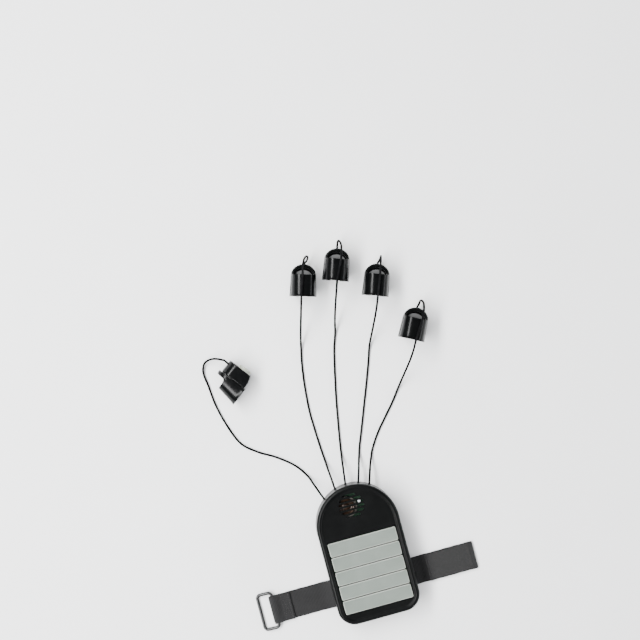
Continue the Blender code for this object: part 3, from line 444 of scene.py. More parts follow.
def moulded(name, dark, light, roughness, grain_mm, grain_depth, scratch=0.0, specular=0.5):
    """Moulded plastic: slow shifts of tone, a fine grain, and faint hairline scratches."""
    made, tree, shader = fresh_look(name, {"Specular IOR Level": specular})
    space = object_space(tree)
    cloud = noise_texture(tree, space, 22.0, detail=4.0)
    colour = ramp(tree, cloud, dark, light, 0.35, 0.68)
    grain = noise_texture(tree, space, grain_mm, detail=2.0)
    rough = remap(tree, noise_texture(tree, space, 6.0, detail=5.0, rough=0.65), *roughness)
    if scratch:
        lines = noise_texture(tree, object_space(tree, (1.3, 0.07, 1.0)), 0.5, detail=2.0)
        mask = remap(tree, lines, 0.0, scratch, 0.62, 0.72)
        rough = math_node(tree, "ADD", rough, mask)
        colour = mix_colours(tree, mask, colour, tuple(c * 2.2 + 0.006 for c in light))
    link_surface(tree, shader, colour, rough)
    add_bump(tree, shader, grain, 0.35, grain_depth)
    return made


def key_look(name, face_dark, face_light, roughness):
    """Semi-gloss pale plastic with a little depth to it."""
    made = moulded(name, face_dark, face_light, roughness, 0.5, 0.004)
    shader = made.node_tree.nodes["Principled BSDF"]
    set_inputs(shader, {
        "Subsurface Weight": 0.12, "Subsurface Radius": (0.002, 0.002, 0.0016),
        "Coat Weight": 0.25, "Coat Roughness": 0.12,
    })  # fmt: skip
    return made


def button_look():
    """Milky, part translucent moulding."""
    made, tree, shader = fresh_look("button_milky", {
        "Subsurface Weight": 0.6, "Subsurface Radius": (0.004, 0.004, 0.003), "Transmission Weight": 0.25,
    })  # fmt: skip
    space = object_space(tree)
    cloud = noise_texture(tree, space, 5.0)
    colour = ramp(tree, cloud, (0.47, 0.5, 0.42), (0.59, 0.61, 0.53))
    link_surface(tree, shader, colour, remap(tree, noise_texture(tree, space, 0.8), 0.26, 0.42))
    add_bump(tree, shader, noise_texture(tree, space, 0.6), 0.2, 0.004)
    return made


def cord_look():
    """Soft black jacket with a dull sheen and the odd scuff."""
    made, tree, shader = fresh_look("cord_black", {"Specular IOR Level": 0.03})
    space = object_space(tree)
    scuff = noise_texture(tree, space, 3.5, detail=5.0, rough=0.7)
    colour = ramp(tree, scuff, (0.003, 0.003, 0.0035), (0.012, 0.012, 0.0125), 0.45, 0.8)
    link_surface(tree, shader, colour, remap(tree, scuff, 0.5, 0.7))
    add_bump(tree, shader, noise_texture(tree, space, 0.35), 0.3, 0.01)
    return made


def board_look():
    """Green solder mask, lighter over the copper tracks."""
    made, tree, shader = fresh_look("board_mask")
    space = object_space(tree)
    values = {"Scale": 260.0, "Mortar Size": 0.035, "Brick Width": 1.4}
    tracks = texture(tree, "ShaderNodeTexBrick", space, values, offset=0.35, squash=1.6)["Fac"]
    mask = noise_texture(tree, space, 9.0)
    green = ramp(tree, mask, (0.0015, 0.014, 0.005), (0.003, 0.024, 0.009))
    colour = mix_colours(tree, tracks, green, (0.007, 0.042, 0.016))
    link_surface(tree, shader, colour, remap(tree, mask, 0.25, 0.42))
    add_bump(tree, shader, tracks, 0.5, 0.03)
    return made


def film_look():
    """Brown pressed film with a coppery sheen and ring creases."""
    made, tree, shader = fresh_look("film_brown", {"Roughness": 0.34, "Metallic": 0.3})
    space = object_space(tree)
    cloud = noise_texture(tree, space, 3.0)
    colour = ramp(tree, cloud, (0.014, 0.008, 0.005), (0.045, 0.025, 0.014))
    link_surface(tree, shader, colour)
    settings = {"wave_type": "RINGS", "rings_direction": "Z"}
    rings = texture(tree, "ShaderNodeTexWave", space, {"Scale": 420.0, "Distortion": 0.6}, **settings)
    add_bump(tree, shader, rings["Fac"], 0.4, 0.05)
    return made


def metal_look(name, colour, roughness, stretch=(1, 1, 1)):
    """Plated metal with a brushed grain and faint tarnish."""
    made, tree, shader = fresh_look(name, {"Metallic": 1.0})
    space = object_space(tree)
    tarnish = noise_texture(tree, space, 4.0, detail=4.0)
    darker = tuple(c * 0.72 for c in colour)
    tone = ramp(tree, tarnish, darker, colour, 0.35, 0.7)
    brushed = noise_texture(tree, object_space(tree, stretch), 0.3)
    link_surface(tree, shader, tone, remap(tree, brushed, roughness * 0.7, roughness * 1.5))
    add_bump(tree, shader, brushed, 0.15, 0.01)
    return made


def webbing_look():
    """Black polyester webbing: ribs across the strap crossed by fine warp threads."""
    values = {"Roughness": 0.85, "Sheen Weight": 0.08, "Sheen Roughness": 0.5}
    made, tree, shader = fresh_look("webbing_black", values)
    space = object_space(tree)
    wave = "ShaderNodeTexWave"
    ribs = texture(tree, wave, space, {"Scale": 310.0, "Distortion": 0.4}, bands_direction="X")["Fac"]
    threads = texture(tree, wave, space, {"Scale": 420.0, "Distortion": 0.5}, bands_direction="Y")["Fac"]
    height = math_node(tree, "MULTIPLY", ribs, threads)
    fuzz = noise_texture(tree, space, 0.25, detail=4.0)
    height = math_node(tree, "ADD", height, math_node(tree, "MULTIPLY", fuzz, 0.5))
    worn = noise_texture(tree, space, 12.0)
    # The colour follows the weave's height times a random worn tone, darker in the weave's grooves: painted
    # shade there.
    shade = math_node(tree, "MULTIPLY", height, remap(tree, worn, 0.7, 1.2))
    colour = ramp(tree, shade, (0.002, 0.002, 0.0022), (0.011, 0.011, 0.012), 0.2, 0.95)
    link_surface(tree, shader, colour)
    add_bump(tree, shader, height, 0.9, 0.25)
    return made


def hook_look():
    """The mushroom-headed hook patch on the strap's end."""
    made, tree, shader = fresh_look("hook_black", {"Roughness": 0.6})
    values = {"Scale": 1250.0, "Randomness": 0.25}
    dots = texture(tree, "ShaderNodeTexVoronoi", object_space(tree), values, feature="F1")["Distance"]
    height = remap(tree, dots, 1.0, 0.0, 0.1, 0.6)
    # The colour follows the hooks' height, darker between the heads: painted shade.
    colour = ramp(tree, height, (0.0015, 0.0015, 0.0015), (0.009, 0.009, 0.0095), 0.1, 0.9)
    link_surface(tree, shader, colour)
    add_bump(tree, shader, height, 0.8, 0.3)
    return made


def wrap_look():
    """A cell's blue shrink sleeve."""
    made, tree, shader = fresh_look("cell_sleeve", {"Roughness": 0.28})
    space = object_space(tree)
    cloud = noise_texture(tree, space, 14.0)
    link_surface(tree, shader, ramp(tree, cloud, (0.03, 0.09, 0.24), (0.06, 0.16, 0.36)))
    add_bump(tree, shader, noise_texture(tree, space, 1.2), 0.2, 0.02)
    return made


def make_looks():
    return {
        "case": moulded("case_satin", (0.0018, 0.002, 0.002), (0.003, 0.0033, 0.0033), (0.3, 0.4),
                        0.45, 0.01, specular=0.1),
        "rim": moulded("rim_satin", (0.003, 0.0032, 0.0035), (0.006, 0.0063, 0.0068), (0.27, 0.36),
                       0.5, 0.008),
        "cap": moulded("cap_gloss", (0.0011, 0.0013, 0.0014), (0.0021, 0.0024, 0.0025), (0.17, 0.27),
                       0.9, 0.004, scratch=0.08, specular=0.13),
        # The inner look is many times paler than the cap's black: painted light that lifts the shaded bore
        # and trough.
        "cap_inner_lightened": moulded("cap_inner_lightened", (0.045, 0.046, 0.047), (0.065, 0.066, 0.067), (0.5, 0.65),
                             0.6, 0.02),
        "key": key_look("key_pale", (0.118, 0.141, 0.124), (0.158, 0.182, 0.161), (0.27, 0.38)),
        # The key's edge look is a paler copy of the key plastic for its bevels: a painted highlight.
        "key_edge": key_look("key_edge", (0.34, 0.36, 0.32), (0.4, 0.42, 0.38), (0.22, 0.3)),
        "button": button_look(),
        "cord": cord_look(),
        "board": board_look(),
        "film": film_look(),
        "steel": metal_look("plated_steel", (0.62, 0.62, 0.63), 0.28, (1, 6, 1)),
        "basket": metal_look("basket_zinc", (0.16, 0.155, 0.14), 0.42),
        "silicone": moulded("dome_rubber", (0.2, 0.2, 0.2), (0.28, 0.28, 0.28), (0.55, 0.7), 0.6, 0.01),
        "led": moulded("led_epoxy", (0.85, 0.87, 0.9), (0.92, 0.93, 0.95), (0.15, 0.25), 0.8, 0.004),
        "chip": moulded("chip_epoxy", (0.008, 0.008, 0.009), (0.014, 0.014, 0.015), (0.3, 0.45), 0.4, 0.01),
        "wrap": wrap_look(),
        "webbing": webbing_look(),
        "hook": hook_look(),
        "thread": moulded("thread_black", (0.008, 0.008, 0.0085), (0.018, 0.018, 0.019), (0.5, 0.65),
                          0.3, 0.02),
    }


# ---------------- shaping tools, in millimetres


def workpiece(mesh):
    return new_object("workpiece", mesh)


def workpiece_of(shape):
    """A workpiece from a bmesh, with its faces turned outwards."""
    bmesh.ops.recalc_face_normals(shape, faces=shape.faces)
    mesh = bpy.data.meshes.new("workpiece")
    shape.to_mesh(mesh)
    shape.free()
    return workpiece(mesh)


def clean(piece):
    shape = bmesh.new()
    shape.from_mesh(piece.data)
    bmesh.ops.remove_doubles(shape, verts=shape.verts, dist=0.0005)
    bmesh.ops.recalc_face_normals(shape, faces=shape.faces)
    shape.to_mesh(piece.data)
    shape.free()
    return piece


def with_modifier(piece, kind, **settings):
    modifier = piece.modifiers.new(kind, kind)
    for name, value in settings.items():
        setattr(modifier, name, value)
    bpy.context.view_layer.update()
    graph = bpy.context.evaluated_depsgraph_get()
    mesh = bpy.data.meshes.new_from_object(piece.evaluated_get(graph))
    piece.modifiers.clear()
    piece.data = mesh
    return piece


def combine(piece, other, operation):
    with_modifier(piece, "BOOLEAN", object=other, operation=operation, solver="EXACT")
    bpy.data.objects.remove(other)
    return piece


def cut(piece, *tools):
    for tool in tools:
        combine(piece, tool, "DIFFERENCE")
    return piece


def join(piece, *others):
    for other in others:
        combine(piece, other, "UNION")
    return piece


def rounded(piece, width, segments=3, angle=38.0, **more):
    return with_modifier(
        piece, "BEVEL", width=width, segments=segments, limit_method="ANGLE",
        angle_limit=math.radians(angle), miter_outer="MITER_ARC", **more,
    )  # fmt: skip


def box(low, high):
    shape = bmesh.new()
    bmesh.ops.create_cube(shape, size=1.0)
    size = Vector(high) - Vector(low)
    middle = (Vector(high) + Vector(low)) / 2
    matrix = Matrix.Translation(middle) @ Matrix.Diagonal((*size, 1))
    bmesh.ops.transform(shape, matrix=matrix, verts=shape.verts)
    return workpiece_of(shape)


def ease_uprights(piece, radius):
    """Rounds a box's upright edges."""
    shape = bmesh.new()
    shape.from_mesh(piece.data)
    uprights = [e for e in shape.edges if abs(e.verts[0].co.z - e.verts[1].co.z) > 0.1]
    bmesh.ops.bevel(shape, geom=uprights, offset=radius, segments=5, profile=0.5, affect="EDGES")
    shape.to_mesh(piece.data)
    shape.free()


def loft(shape, rings):
    rows = [[shape.verts.new(point) for point in ring] for ring in rings]
    for lower, upper in zip(rows, rows[1:]):
        count = len(lower)
        for i in range(count):
            shape.faces.new((lower[i], lower[(i + 1) % count], upper[(i + 1) % count], upper[i]))
    shape.faces.new(rows[0][::-1])
    shape.faces.new(rows[-1])


def rings_solid(rings):
    """A closed solid lofted through rings of points, all with the same count, and capped at both ends."""
    shape = bmesh.new()
    loft(shape, rings)
    return workpiece_of(shape)


def prism(outline, low, high):
    return rings_solid([[(x, y, z) for x, y in outline] for z in (low, high)])


def prism_along_y(outline, rear, front):
    return rings_solid([[(x, y, z) for x, z in outline] for y in (rear, front)])


def prism_along_x(outline, left, right):
    return rings_solid([[(x, y, z) for y, z in outline] for x in (left, right)])


def rod(centre, radius, low, high, segments=32, turn=None):
    ring = [(radius * math.cos(a), radius * math.sin(a)) for a in
            (2 * math.pi * i / segments for i in range(segments))]  # fmt: skip
    piece = prism(ring, low, high)
    piece.data.transform(Matrix.Translation(centre) @ (turn or Matrix.Identity(4)))
    return piece


def turned(profile, segments):
    """A closed profile of (radius, height) points spun about Z."""
    mesh = bpy.data.meshes.new("turned")
    mesh.from_pydata([(r, 0, z) for r, z in profile], [(i, i + 1) for i in range(len(profile) - 1)], [])
    piece = workpiece(mesh)
    with_modifier(piece, "SCREW", steps=segments, render_steps=segments, use_merge_vertices=True,
                  merge_threshold=0.0001)  # fmt: skip
    return clean(piece)


def show(name, piece, look, body=ROOT, frame_matrix=None, replaces=(), slot=None, sharp=35.0):
    """Makes a finished piece of a workpiece: metres, smooth shading, a look and a CAD body to ride on."""
    mesh = piece.data
    mesh.transform(Matrix.Scale(MM, 4))
    mesh.shade_smooth()
    mesh.set_sharp_from_angle(angle=math.radians(sharp))
    if sharp < 60:
        mesh = with_modifier(piece, "WEIGHTED_NORMAL", keep_sharp=True).data
    mesh.name = name
    piece.name = name
    slots = [face.material_index for face in mesh.polygons]
    mesh.materials.clear()
    for each in look if isinstance(look, list) else [look]:
        mesh.materials.append(each)
    mesh.polygons.foreach_set("material_index", slots if isinstance(look, list) else [0] * len(slots))
    matrix = (frame_matrix or Matrix.Identity(4)).copy()
    matrix.translation = matrix.translation * MM
    piece.matrix_world = matrix
    if replaces:
        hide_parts(*replaces)
    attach(piece, body)
    return piece


# ---------------- outlines


def arc(centre, radii, start, end, steps):
    points = []
    for step in range(steps + 1):
        angle = math.radians(start + (end - start) * step / steps)
        points.append((centre[0] + radii[0] * math.cos(angle), centre[1] + radii[1] * math.sin(angle)))
    return points


def unit_outline(inset, steps=72, corner_steps=14):
    half, corner = HEAD_R - inset, max(FOOT_CORNER_R - inset, 0.5)
    corner_x, corner_y = half - corner, FOOT_Y + inset + corner
    return (
        arc((0, 0), (half, half), 0, 180, steps)
        + arc((-corner_x, corner_y), (corner, corner), 180, 270, corner_steps)
        + arc((corner_x, corner_y), (corner, corner), 270, 360, corner_steps)
    )


def d_outline(rear_half, front_half, rear_y, turn_y, front_y, steps=40):
    front = arc((0, turn_y), (front_half, front_y - turn_y), 0, 180, steps)
    return [(-rear_half, rear_y), (rear_half, rear_y), *front]


def arch_outline(half, low, top, steps=48):
    points = []
    for step in range(steps + 1):
        angle = math.pi * step / steps
        x, z = math.cos(angle), math.sin(angle)
        square = 2 / ARCH_SQUARENESS
        points.append((half * math.copysign(abs(x) ** square, x), low + (top - low) * abs(z) ** square))
    return points


def slot_outline(centre, length, width):
    half = length / 2 - width / 2
    x, y = centre
    radii = (width / 2, width / 2)
    return arc((x + half, y), radii, -90, 90, 10) + arc((x - half, y), radii, 90, 270, 10)


# ---------------- control unit


def unit_rings(profile):
    """The unit's outline at each (inset, height) of a profile."""
    return [[(x, y, z) for x, y in unit_outline(inset)] for inset, z in profile]


def cord_holes():
    exits = [(finger["exit"], finger["heading"]) for finger in FINGERS.values()]
    exits.append((THUMB_EXIT, THUMB_EXIT_HEADING))
    cutters = []
    for angle, heading in exits:
        centre = UNIT_FRAME.inverted() @ exit_point(angle)
        direction = UNIT_FRAME.to_3x3().inverted() @ heading_vector(heading)
        turn = direction.to_track_quat("Z", "Y").to_matrix().to_4x4()
        cutters.append(rod(centre, CORD_R + 0.25, -11.0, 4.0, segments=24, turn=turn))
    return cutters


def edge_curve(inset, z, radius, start, end, steps=7):
    """(inset, height) points round a quarter turn of the unit's edge."""
    return [(inset - radius * math.cos(a), z + radius * math.sin(a)) for a in
            (math.radians(start + (end - start) * i / steps) for i in range(steps + 1))]  # fmt: skip


def front_cover():
    """Sunken panel inside a raised rounded rim, one shell with the wall down to the seam."""
    low = PARTING_Z + SEAM
    rim = [
        (4.6, PANEL_Z - 0.02), (3.9, PANEL_Z), (3.45, PANEL_Z + 0.12), (3.2, PANEL_Z + 0.4),
        (2.95, PANEL_Z + 0.66), (2.55, PANEL_Z + 0.83), (2.1, UNIT_HEIGHT),
        *edge_curve(2.2, UNIT_HEIGHT - 2.2, 2.2, 80, 0),
        (0, 14.0), (0, low + 0.3), (0.09, low + 0.09), (0.3, low), (WALL - 0.2, low), (WALL, low + 0.2),
        (WALL, ROOF_Z - 0.8), (WALL + 0.8, ROOF_Z),
    ]  # fmt: skip
    cover = rings_solid(unit_rings(rim))
    cut(cover, box((-WINDOW_HALF_WIDTH, WINDOW_FOOT_Y, 10), (WINDOW_HALF_WIDTH, WINDOW_TOP_Y, 30)))
    for slot in range(SLOT_COUNT):
        offset = (slot - (SLOT_COUNT - 1) / 2) * SLOT_PITCH
        length = 2 * math.sqrt(GRILLE_R**2 - (abs(offset) + SLOT_WIDTH / 2) ** 2)
        centre = (GRILLE_CENTRE[0], GRILLE_CENTRE[1] + offset)
        cut(cover, prism(slot_outline(centre, length, SLOT_WIDTH), ROOF_Z - 1, UNIT_HEIGHT))
    rounded(cover, 0.3, 3, 50.0)
    return cut(cover, *cord_holes())


def back_cover():
    """Rounded tray with the strap channel, the battery door's seat and the screws' recesses."""
    high = PARTING_Z - SEAM
    profile = [
        (2.9, 0.0), *edge_curve(2.2, 2.2, 2.2, -90, 0), (0, 6.0), (0, high - 0.3), (0.09, high - 0.09),
        (0.3, high), (WALL - 0.2, high), (WALL, high - 0.2), (WALL, FLOOR_TOP),
    ]  # fmt: skip
    cover = rings_solid(unit_rings(profile))
    roof_low = (-HEAD_R + 1, CHANNEL_Y[0] - 1.6, FLOOR_TOP - 1)
    join(cover, box(roof_low, (HEAD_R - 1, CHANNEL_Y[1] + 1.6, CHANNEL_TOP_Z + 1.6)))
    cut(cover, box((-60, CHANNEL_Y[0], BRIDGE_TOP_Z), (60, CHANNEL_Y[1], CHANNEL_TOP_Z)))
    cut(cover, box((-BRIDGE_INNER_X, CHANNEL_Y[0], -5), (BRIDGE_INNER_X, CHANNEL_Y[1], BRIDGE_TOP_Z + 1)))
    cut(cover, box((-BAY_HALF_LENGTH, BAY_Y[0], -5), (BAY_HALF_LENGTH, BAY_Y[1], FLOOR_TOP + 1)))
    seat = DOOR_THICKNESS + GAP
    reach = BAY_HALF_LENGTH + DOOR_LEDGE
    cut(cover, box((-reach, BAY_Y[0] - DOOR_LEDGE, -5), (reach, BAY_Y[1] + DOOR_LEDGE, seat)))
    tab_half, tab_end, screw_y = DOOR_TAB
    cut(cover, box((-tab_half - GAP, BAY_Y[1], -5), (tab_half + GAP, tab_end + GAP, seat)))
    for x, y in HEAD_SCREWS + FOOT_SCREWS:
        join(cover, rod((x, y, 0), 2.8, FLOOR_TOP - 0.5, PARTING_Z - GAP))
        cut(cover, rod((x, y, 0), SCREW_RECESS[0], -5, SCREW_RECESS[1]))
        cut(cover, rod((x, y, 0), 1.35, 0, PARTING_Z + 1))
    join(cover, rod((0, screw_y, 0), 2.4, FLOOR_TOP - 0.3, 7.5))
    cut(cover, rod((0, screw_y, 0), 1.25, 0, 6.0))
    slot = KNOB[1] / 2 + SWITCH_TRAVEL / 2 + GAP
    slot_low = (HEAD_R - WALL - 1, SWITCH_Y - slot, SWITCH_Z - KNOB[2] / 2 - GAP)
    cut(cover, box(slot_low, (HEAD_R + 1, SWITCH_Y + slot, SWITCH_Z + KNOB[2] / 2 + GAP)))
    rounded(cover, 0.25, 2, 50.0)
    return cut(cover, *cord_holes())


def key_y(number):
    return WINDOW_TOP_Y - KEY_PITCH * (number - 0.5) - 0.1


def key_bar(base_and_painted_looks):
    """A long flat key with eased edges painted lighter as a highlight, and a tab at each end under the
    cover.
    """
    length, width = KEY_SIZE[0], KEY_SIZE[1] - KEY_RELIEF
    bar = box((-length / 2, -width / 2, KEY_BOTTOM_Z), (length / 2, width / 2, KEY_TOP_Z))
    for look in base_and_painted_looks:
        bar.data.materials.append(look)
    ease_uprights(bar, KEY_CORNER_R)
    # The bevel faces take the paler edge look (material 1): a painted highlight along the key's edges.
    rounded(bar, KEY_EDGE_R, 4, 60.0, material=1)
    join(bar, box((-length / 2 - 1.6, -2.5, KEY_BOTTOM_Z), (length / 2 + 1.6, 2.5, KEY_BOTTOM_Z + 0.9)))
    return bar


def cell(y):
    """A AAA cell along X."""
    half, r = CELL_SIZE[0] / 2, CELL_SIZE[1]
    profile = [(0, half), (1.5, half), (1.8, half - 0.3), (1.8, half - 1), (r - 0.7, half - 1),
               (r - 0.2, half - 1.2), (r, half - 1.6), (r, -half + 0.5), (r - 0.3, -half + 0.1),
               (r - 0.7, -half), (r - 1, -half + 0.25), (0, -half + 0.25)]  # fmt: skip
    made = turned(profile, 48)
    height = DOOR_THICKNESS + 0.35 + r
    made.data.transform(Matrix.Translation((0, y, height)) @ Matrix.Rotation(math.pi / 2, 4, "Y"))
    return made


def battery_door():
    """Cover plate with a thumb grip and a screw tab."""
    reach = BAY_HALF_LENGTH + DOOR_LEDGE - GAP
    low_y, high_y = BAY_Y[0] - DOOR_LEDGE + GAP, BAY_Y[1] + DOOR_LEDGE - GAP
    door = box((-reach, low_y, 0), (reach, high_y, DOOR_THICKNESS))
    tab_half, tab_end, screw_y = DOOR_TAB
    join(door, box((-tab_half, BAY_Y[1], 0), (tab_half, tab_end, DOOR_THICKNESS)))
    cut(door, rod((0, screw_y, 0), 1.25, -1, 5))
    cut(door, rod((0, screw_y, 0), 1.95, -1, 0.85))
    for groove in range(5):
        y = BAY_Y[0] + 3.0 + groove * 1.5
        cut(door, prism(slot_outline((0, y), 14.0, 0.7), -1, 0.4))
    return rounded(door, 0.18, 2, 50.0)


def screw(x, y, head_low, head_r, shaft_r, length):
    """A pan-head screw with a cross recess, its head facing down."""
    head = 1.3 if length > 8 else 0.5
    tip = head_low + length
    profile = [(0, tip), (shaft_r * 0.5, tip), (shaft_r, tip - 0.6), (shaft_r, head_low + head),
               (head_r, head_low + head), (head_r, head_low + 0.35 * head),
               (head_r * 0.93, head_low + 0.14 * head), (head_r * 0.78, head_low),
               (0, head_low)]  # fmt: skip
    piece = turned(profile, 40)
    piece.data.transform(Matrix.Translation((x, y, 0)))
    depth = head_low + head * 0.55
    cut(piece, box((x - head_r * 0.6, y - 0.22, -1), (x + head_r * 0.6, y + 0.22, depth)))
    return cut(piece, box((x - 0.22, y - head_r * 0.6, -1), (x + 0.22, y + head_r * 0.6, depth)))


def switch_knob():
    """Slide knob with three finger ridges."""
    depth, width, height = KNOB
    low_x = HEAD_R - WALL - GAP + 0.25
    y0 = SWITCH_Y - SWITCH_TRAVEL / 2
    low = (low_x, y0 - width / 2, SWITCH_Z - height / 2)
    knob = box(low, (low_x + depth, y0 + width / 2, SWITCH_Z + height / 2))
    for groove in (-1.0, 0.0, 1.0):
        y = y0 + groove * 1.05
        cut(knob, box((low_x + depth - 0.45, y - 0.22, 0), (low_x + depth + 1, y + 0.22, 20)))
    return rounded(knob, 0.12, 2, 50.0)


def speaker_cone():
    low = 15.0
    outer = SPEAKER_R - 1.7
    upper = [(0, 16.5), (0.9, 16.42), (1.6, 16.2), (2.1, 15.75), (2.5, 15.5), (3.0, 15.4), (3.6, 15.6),
             (4.2, 16.1), (4.6, 16.45), (5.0, 16.55), (outer, 16.2)]  # fmt: skip
    lower = [(outer, 15.9), (4.9, 16.1), (3.2, low), (0, low)]
    return turned(upper + lower, 72)


def strap_path():
    """(x, z) of the webbing's middle line: sewn end, round the ring's bar, through the unit, fold."""
    over_bridge = BRIDGE_TOP_Z + GAP + 0.2 + WEB_HALF
    cx, cz = RING_AXIS
    r = RING_BAR_R + 0.3 + WEB_HALF
    sewn = [(-59.6, SECOND_LAYER_Z), (-62.5, SECOND_LAYER_Z), (-65.4, SECOND_LAYER_Z + 0.1), (-68.0, 3.05),
            (-69.8, 4.15)]  # fmt: skip
    under_unit = [(-70.0, WEB_HALF + 0.02), (-66.0, WEB_HALF + 0.02),
                  *[(x, WEB_HALF) for x in (-60, -50, -42, -36)], (-32, 1.4), (-28.5, over_bridge - 0.02),
                  *[(x, over_bridge) for x in (-24, 0, 24, 28.5)], (32, 1.4),
                  *[(x, WEB_HALF) for x in (36, 42, 56, 68)]]  # fmt: skip
    fold = arc((74.3, 2 * WEB_HALF + 0.03), (0.75, 0.76), -90, 90, 8)
    folded = [(x, SECOND_LAYER_Z) for x in (70, 60, 50, 40.6)]
    return [*sewn, *arc((cx, cz), (r, r), 70, 270, 12), *under_unit, *fold, *folded]


def resampled(points, spacing):
    """Evenly spaced points on a smooth curve through the given ones."""
    vectors = [Vector((x, 0, z)) for x, z in points]
    fine = []
    for i in range(len(vectors) - 1):
        p0, p1, p2, p3 = (vectors[max(0, min(len(vectors) - 1, i + k))] for k in (-1, 0, 1, 2))
        for step in range(8):
            t = step / 8
            fine.append(p1 + ((p2 - p0) * t + (2 * p0 - 5 * p1 + 4 * p2 - p3) * t * t
                              + (3 * p1 - p0 - 3 * p2 + p3) * t**3) * 0.5)  # fmt: skip
    fine.append(vectors[-1])
    points, gone, total = [fine[0]], 0.0, sum((b - a).length for a, b in zip(fine, fine[1:]))
    count = round(total / spacing)
    for a, b in zip(fine, fine[1:]):
        length = (b - a).length
        while len(points) < count and gone + length >= total / count * len(points):
            points.append(a.lerp(b, (total / count * len(points) - gone) / max(length, 1e-9)))
        gone += length
    return [*points, fine[-1]], total


def webbing_ring(point, along, half_width, half_thick, wobble):
    """The webbing's cross-section: flat with rounded selvedges."""
    normal = Vector((-along.z, 0, along.x))
    ring = []
    for angle in range(0, 360, 20):
        c, s = math.cos(math.radians(angle)), math.sin(math.radians(angle))
        across = math.copysign(abs(c) ** 0.16, c) * half_width + wobble * c
        out = math.copysign(abs(s) ** 0.5, s) * half_thick
        ring.append(Vector((0, STRAP_Y + across, 0)) + point + normal * out)
    return ring


def strap():
    points, length = resampled(strap_path(), 1.1)
    rings = []
    for i, point in enumerate(points):
        along = (points[min(i + 1, len(points) - 1)] - points[max(i - 1, 0)]).normalized()
        wobble = 0.06 * math.sin(i * 0.9) + 0.05 * math.sin(i * 0.37 + 1)
        rings.append(webbing_ring(point, along, STRAP_WIDTH / 2 - 0.15, 0.66, wobble))
    return rings_solid(rings), length


def stitch_row(start, end, z, count):
    """A row of short thread stitches between two (x, y) places, as one mesh."""
    way = Vector((*end, 0)) - Vector((*start, 0))
    direction = way.normalized()
    side = direction.cross(Vector((0, 0, 1)))
    half_length = way.length / count * 0.36
    shape = bmesh.new()
    for i in range(count):
        middle = Vector((*start, z)) + way * ((i + 0.5) / count)
        rings = []
        for k in range(5):
            t = -1 + k / 2
            thick = 0.2 * (1 - 0.5 * t * t)
            centre = middle + direction * (half_length * t) + Vector((0, 0, 0.12 * (1 - t * t)))
            ring = arc((0, 0), (thick, thick * 0.6), 0, 300, 5)
            rings.append([centre + side * across + Vector((0, 0, up)) for across, up in ring])
        loft(shape, rings)
    return workpiece_of(shape)


def hook_patch():
    """Thin hook patch sewn on the folded end."""
    patch = box((42.5, STRAP_Y - 8.9, 2.7), (72.5, STRAP_Y + 8.9, 2.97))
    ease_uprights(patch, 1.5)
    return rounded(patch, 0.08, 2, 50.0)


def ring_points():
    reach, width = RING_SIZE
    corner = 2.4
    half = width / 2
    corners = (((-corner, half - corner), 0), ((-reach + corner, half - corner), 90),
               ((-reach + corner, -half + corner), 180), ((-corner, -half + corner), 270))  # fmt: skip
    points = []
    for centre, start in corners:
        points += arc(centre, (corner, corner), start, start + 90, 8)
    droop = math.asin((RING_AXIS[1] - RING_BAR_R - 0.05) / reach)
    turn = Matrix.Rotation(-droop, 4, "Y")
    return [turn @ Vector((x, y, 0)) for x, y in points]


def make_unit(looks):
    def add(name, piece, look, slot, replaces=None, at=(0, 0, 0), **more):
        return show(name, piece, look, frame_matrix=UNIT_FRAME @ Matrix.Translation(at), slot=slot,
                    replaces=replaces or [name.replace("_shell", "")], **more)  # fmt: skip

    add("front_cover_shell", front_cover(), looks["case"], "case_plastic")
    add("back_cover_shell", back_cover(), looks["case"], "case_plastic")
    key_and_highlight_looks = [looks["key"], looks["key_edge"]]
    for number in range(1, KEY_COUNT + 1):
        add(f"key_{number}_bar", key_bar(key_and_highlight_looks), key_and_highlight_looks, "key_plastic", [f"key_{number}"],
            at=(0, key_y(number), 0), body=f"key_{number}_body")  # fmt: skip
    for number, y in enumerate((BAY_Y[0] + 5.55, BAY_Y[1] - 5.55), start=1):
        add(f"battery_{number}_cell", cell(y), looks["wrap"], "cell_wrap", [f"battery_{number}"])
    add("battery_door_plate", battery_door(), looks["case"], "case_plastic", ["battery_door"],
        body="battery_door_body")  # fmt: skip
    door_screw = screw(0, DOOR_TAB[2], **DOOR_SCREW)
    add("door_screw_pan", door_screw, looks["steel"], "metal", ["door_screw"], body="battery_door_body")
    for number, (x, y) in enumerate(HEAD_SCREWS + FOOT_SCREWS, start=1):
        add(f"case_screw_{number}_pan", screw(x, y, **CASE_SCREW), looks["steel"], "metal",
            [f"case_screw_{number}"])  # fmt: skip
    add("power_knob_ribbed", switch_knob(), looks["case"], "case_plastic", ["power_switch_knob"],
        body="power_knob_body")  # fmt: skip
    add("speaker_film", speaker_cone(), looks["film"], "mylar", ["speaker_cone"], at=(*SPEAKER_CENTRE, 0))
    r = LED_R
    dome = [(r * math.sin(a), 16.4 + r * math.cos(a)) for a in (math.pi / 2 * i / 8 for i in range(9))]
    lamp = turned([*dome, (r, 14.6), (0, 14.6)], 40)
    lamp.data.transform(Matrix.Translation((*LED_CENTRE, 0)))
    add("status_lamp", lamp, looks["led"], "white_plastic", ["status_led"])


